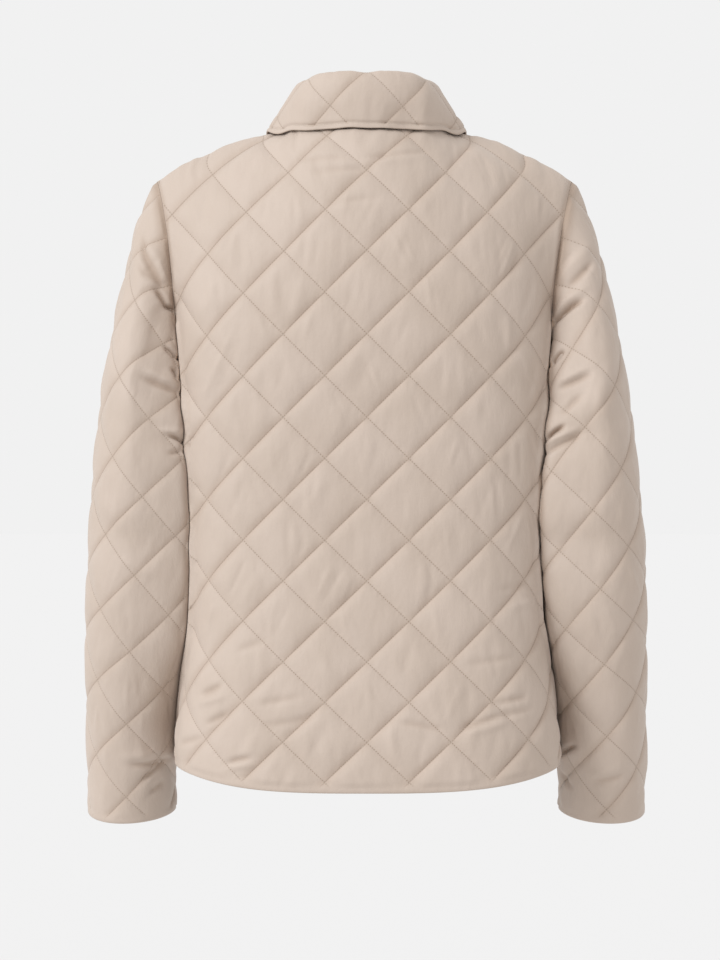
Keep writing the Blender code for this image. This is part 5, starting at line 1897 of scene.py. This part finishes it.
def lay_body_flat(cloth):
    """Unrolls the back or a front from its middle line."""
    middle = cloth.grid.shape[1] // 2 if cloth.name == "back" else cloth.grid.shape[1] - 1 - LAP_CELLS
    cloth.lay_flat(UP, middle)
    cloth.y = cloth.y - np.interp(QUILT_BODY["start_z"], cloth.grid[:, middle, 2], cloth.y[:, middle])
    row = cloth.y / QUILT_BODY["down"]
    cloth.quilt(cloth.x / QUILT_BODY["across"], row - QUILT_BODY["droop"] * row**2)


def lay_sleeve_flat(cloth, moved):
    """Unrolls a sleeve from its back line, with the cuff at y = 0. moved is that line's move outward."""
    side = cloth.name.split("_")[1]
    upward = -unit(np.gradient(cloth.grid[:, :-1].mean(axis=1), axis=0))
    soften(upward, SLEEVE_AXIS_PASSES, directions=True)
    back_line = ARMHOLE_CELLS // 2
    cloth.lay_flat(upward[:, None, :], back_line)
    cloth.y = cloth.y - cloth.y[-1, back_line]
    cloth.x = cloth.x + moved[:, None] * (1 if cloth.flip else -1)
    shift = np.zeros_like(cloth.y)
    for lean in SLEEVE_LEANS:
        shift += lean["shift"] * between(cloth.y, lean["from_y"], lean["to_y"])
    shift = -shift if cloth.flip else shift
    climb = SLEEVE_CLIMB[side] * between(cloth.y, SLEEVE_CLIMB["from_y"], SLEEVE_CLIMB["to_y"])
    up = cloth.y - climb - QUILT_SLEEVE["start"][side]
    cloth.quilt((cloth.x - shift) / QUILT_SLEEVE["across"], up / QUILT_SLEEVE["down"])


def limit_contacts(cloths, others, share):
    """Keeps the puffs of pieces that lie against each other apart, and fills the groove between them."""
    tree = panels_tree(others, "grid")
    for cloth in cloths:
        apart, facing = contact(cloth, tree)
        room = np.where(apart < CONTACT_RANGE, (apart - CONTACT_GAP) * share, cloth.limit)
        cloth.limit = np.minimum(cloth.limit, room)
        near = 1 - between(apart, CONTACT_FILL["fades_from"], CONTACT_RANGE)
        gap = np.where(cloth.grid[..., 0] > 0, CONTACT_FILL["left"], CONTACT_FILL["right"])
        filled = (apart - gap) * share * near * between(facing, *CONTACT_FILL["facing"])
        cloth.fill = np.where(filled > 0, filled, cloth.fill)
        # Painted shade on the cloth near the other piece, and inside the groove painted light, held below 0.
        reach, strength = CONTACT_SHADE["sleeve" if cloth.closed else "body"]
        # Painted light in the groove, where the pieces nearly touch and face each other.
        painted_light = (1 - between(apart, *CONTACT_PAINTED_LIGHT["apart"])) * between(facing, *CONTACT_PAINTED_LIGHT["facing"])
        cloth.shade = strength * (1 - smooth_step(apart / reach)) * (1 - painted_light) - painted_light


def contact(cloth, tree):
    """How far each point is from the cloth beside it, and how squarely it faces it."""
    apart = np.full(cloth.limit.shape, CONTACT_RANGE)
    facing = np.zeros(cloth.limit.shape)
    for index in np.ndindex(cloth.limit.shape):
        point = Vector(cloth.grid[index])
        place, _, _, away = tree.find_nearest(point, CONTACT_RANGE)
        if away is not None:
            apart[index] = away
            facing[index] = (place - point).dot(Vector(cloth.normals[index])) / max(away, 1e-9)
    return apart, facing


def finish_cloth(cloth, material, thread, places):
    """The panel's piece and its stitches."""
    made = build_cloth(cloth, material)
    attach(made, "root")
    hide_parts(cloth.name)
    runs = [quilting_stitches(cloth)]
    if cloth.name == "collar":
        row = len(cloth.grid) - 1 - COLLAR_EDGE_ROWS.index(EDGE_STITCH_INSET)
        runs.append(line_stitches(cloth.outer[row], cloth.directions[row]))
    if cloth.name == "front_right":
        runs.append(buttonhole_stitches(cloth, places))
    stitches = add_stitches(f"{cloth.name}_stitches", *joined_runs(runs), thread)


def main():
    cloth_look, thread, plastic = cloth_material(), thread_material(), plastic_material()
    cloths = make_cloths()
    places = button_places(cloths["front_right"])
    for seed, cloth in enumerate(cloths.values(), start=FIRST_SEED):
        cloth.snap()
        cloth.shape(seed, SMALL_FOLDS[cloth.name], SLEEVE_PUFF if cloth.closed else 1.0)
    collar = make_collar(cloths)
    collar.snap()
    collar.shape(COLLAR_SEED, (), COLLAR_PUFF)
    cloths["collar"] = collar
    for cloth in cloths.values():
        finish_cloth(cloth, cloth_look, thread, places)
    mesh = button_shape()
    for number, (place, normal) in enumerate(places, start=1):
        add_button(number, mesh, place, normal, plastic, thread)
    bpy.data.meshes.remove(mesh)
    make_stage()
    make_camera()


main()
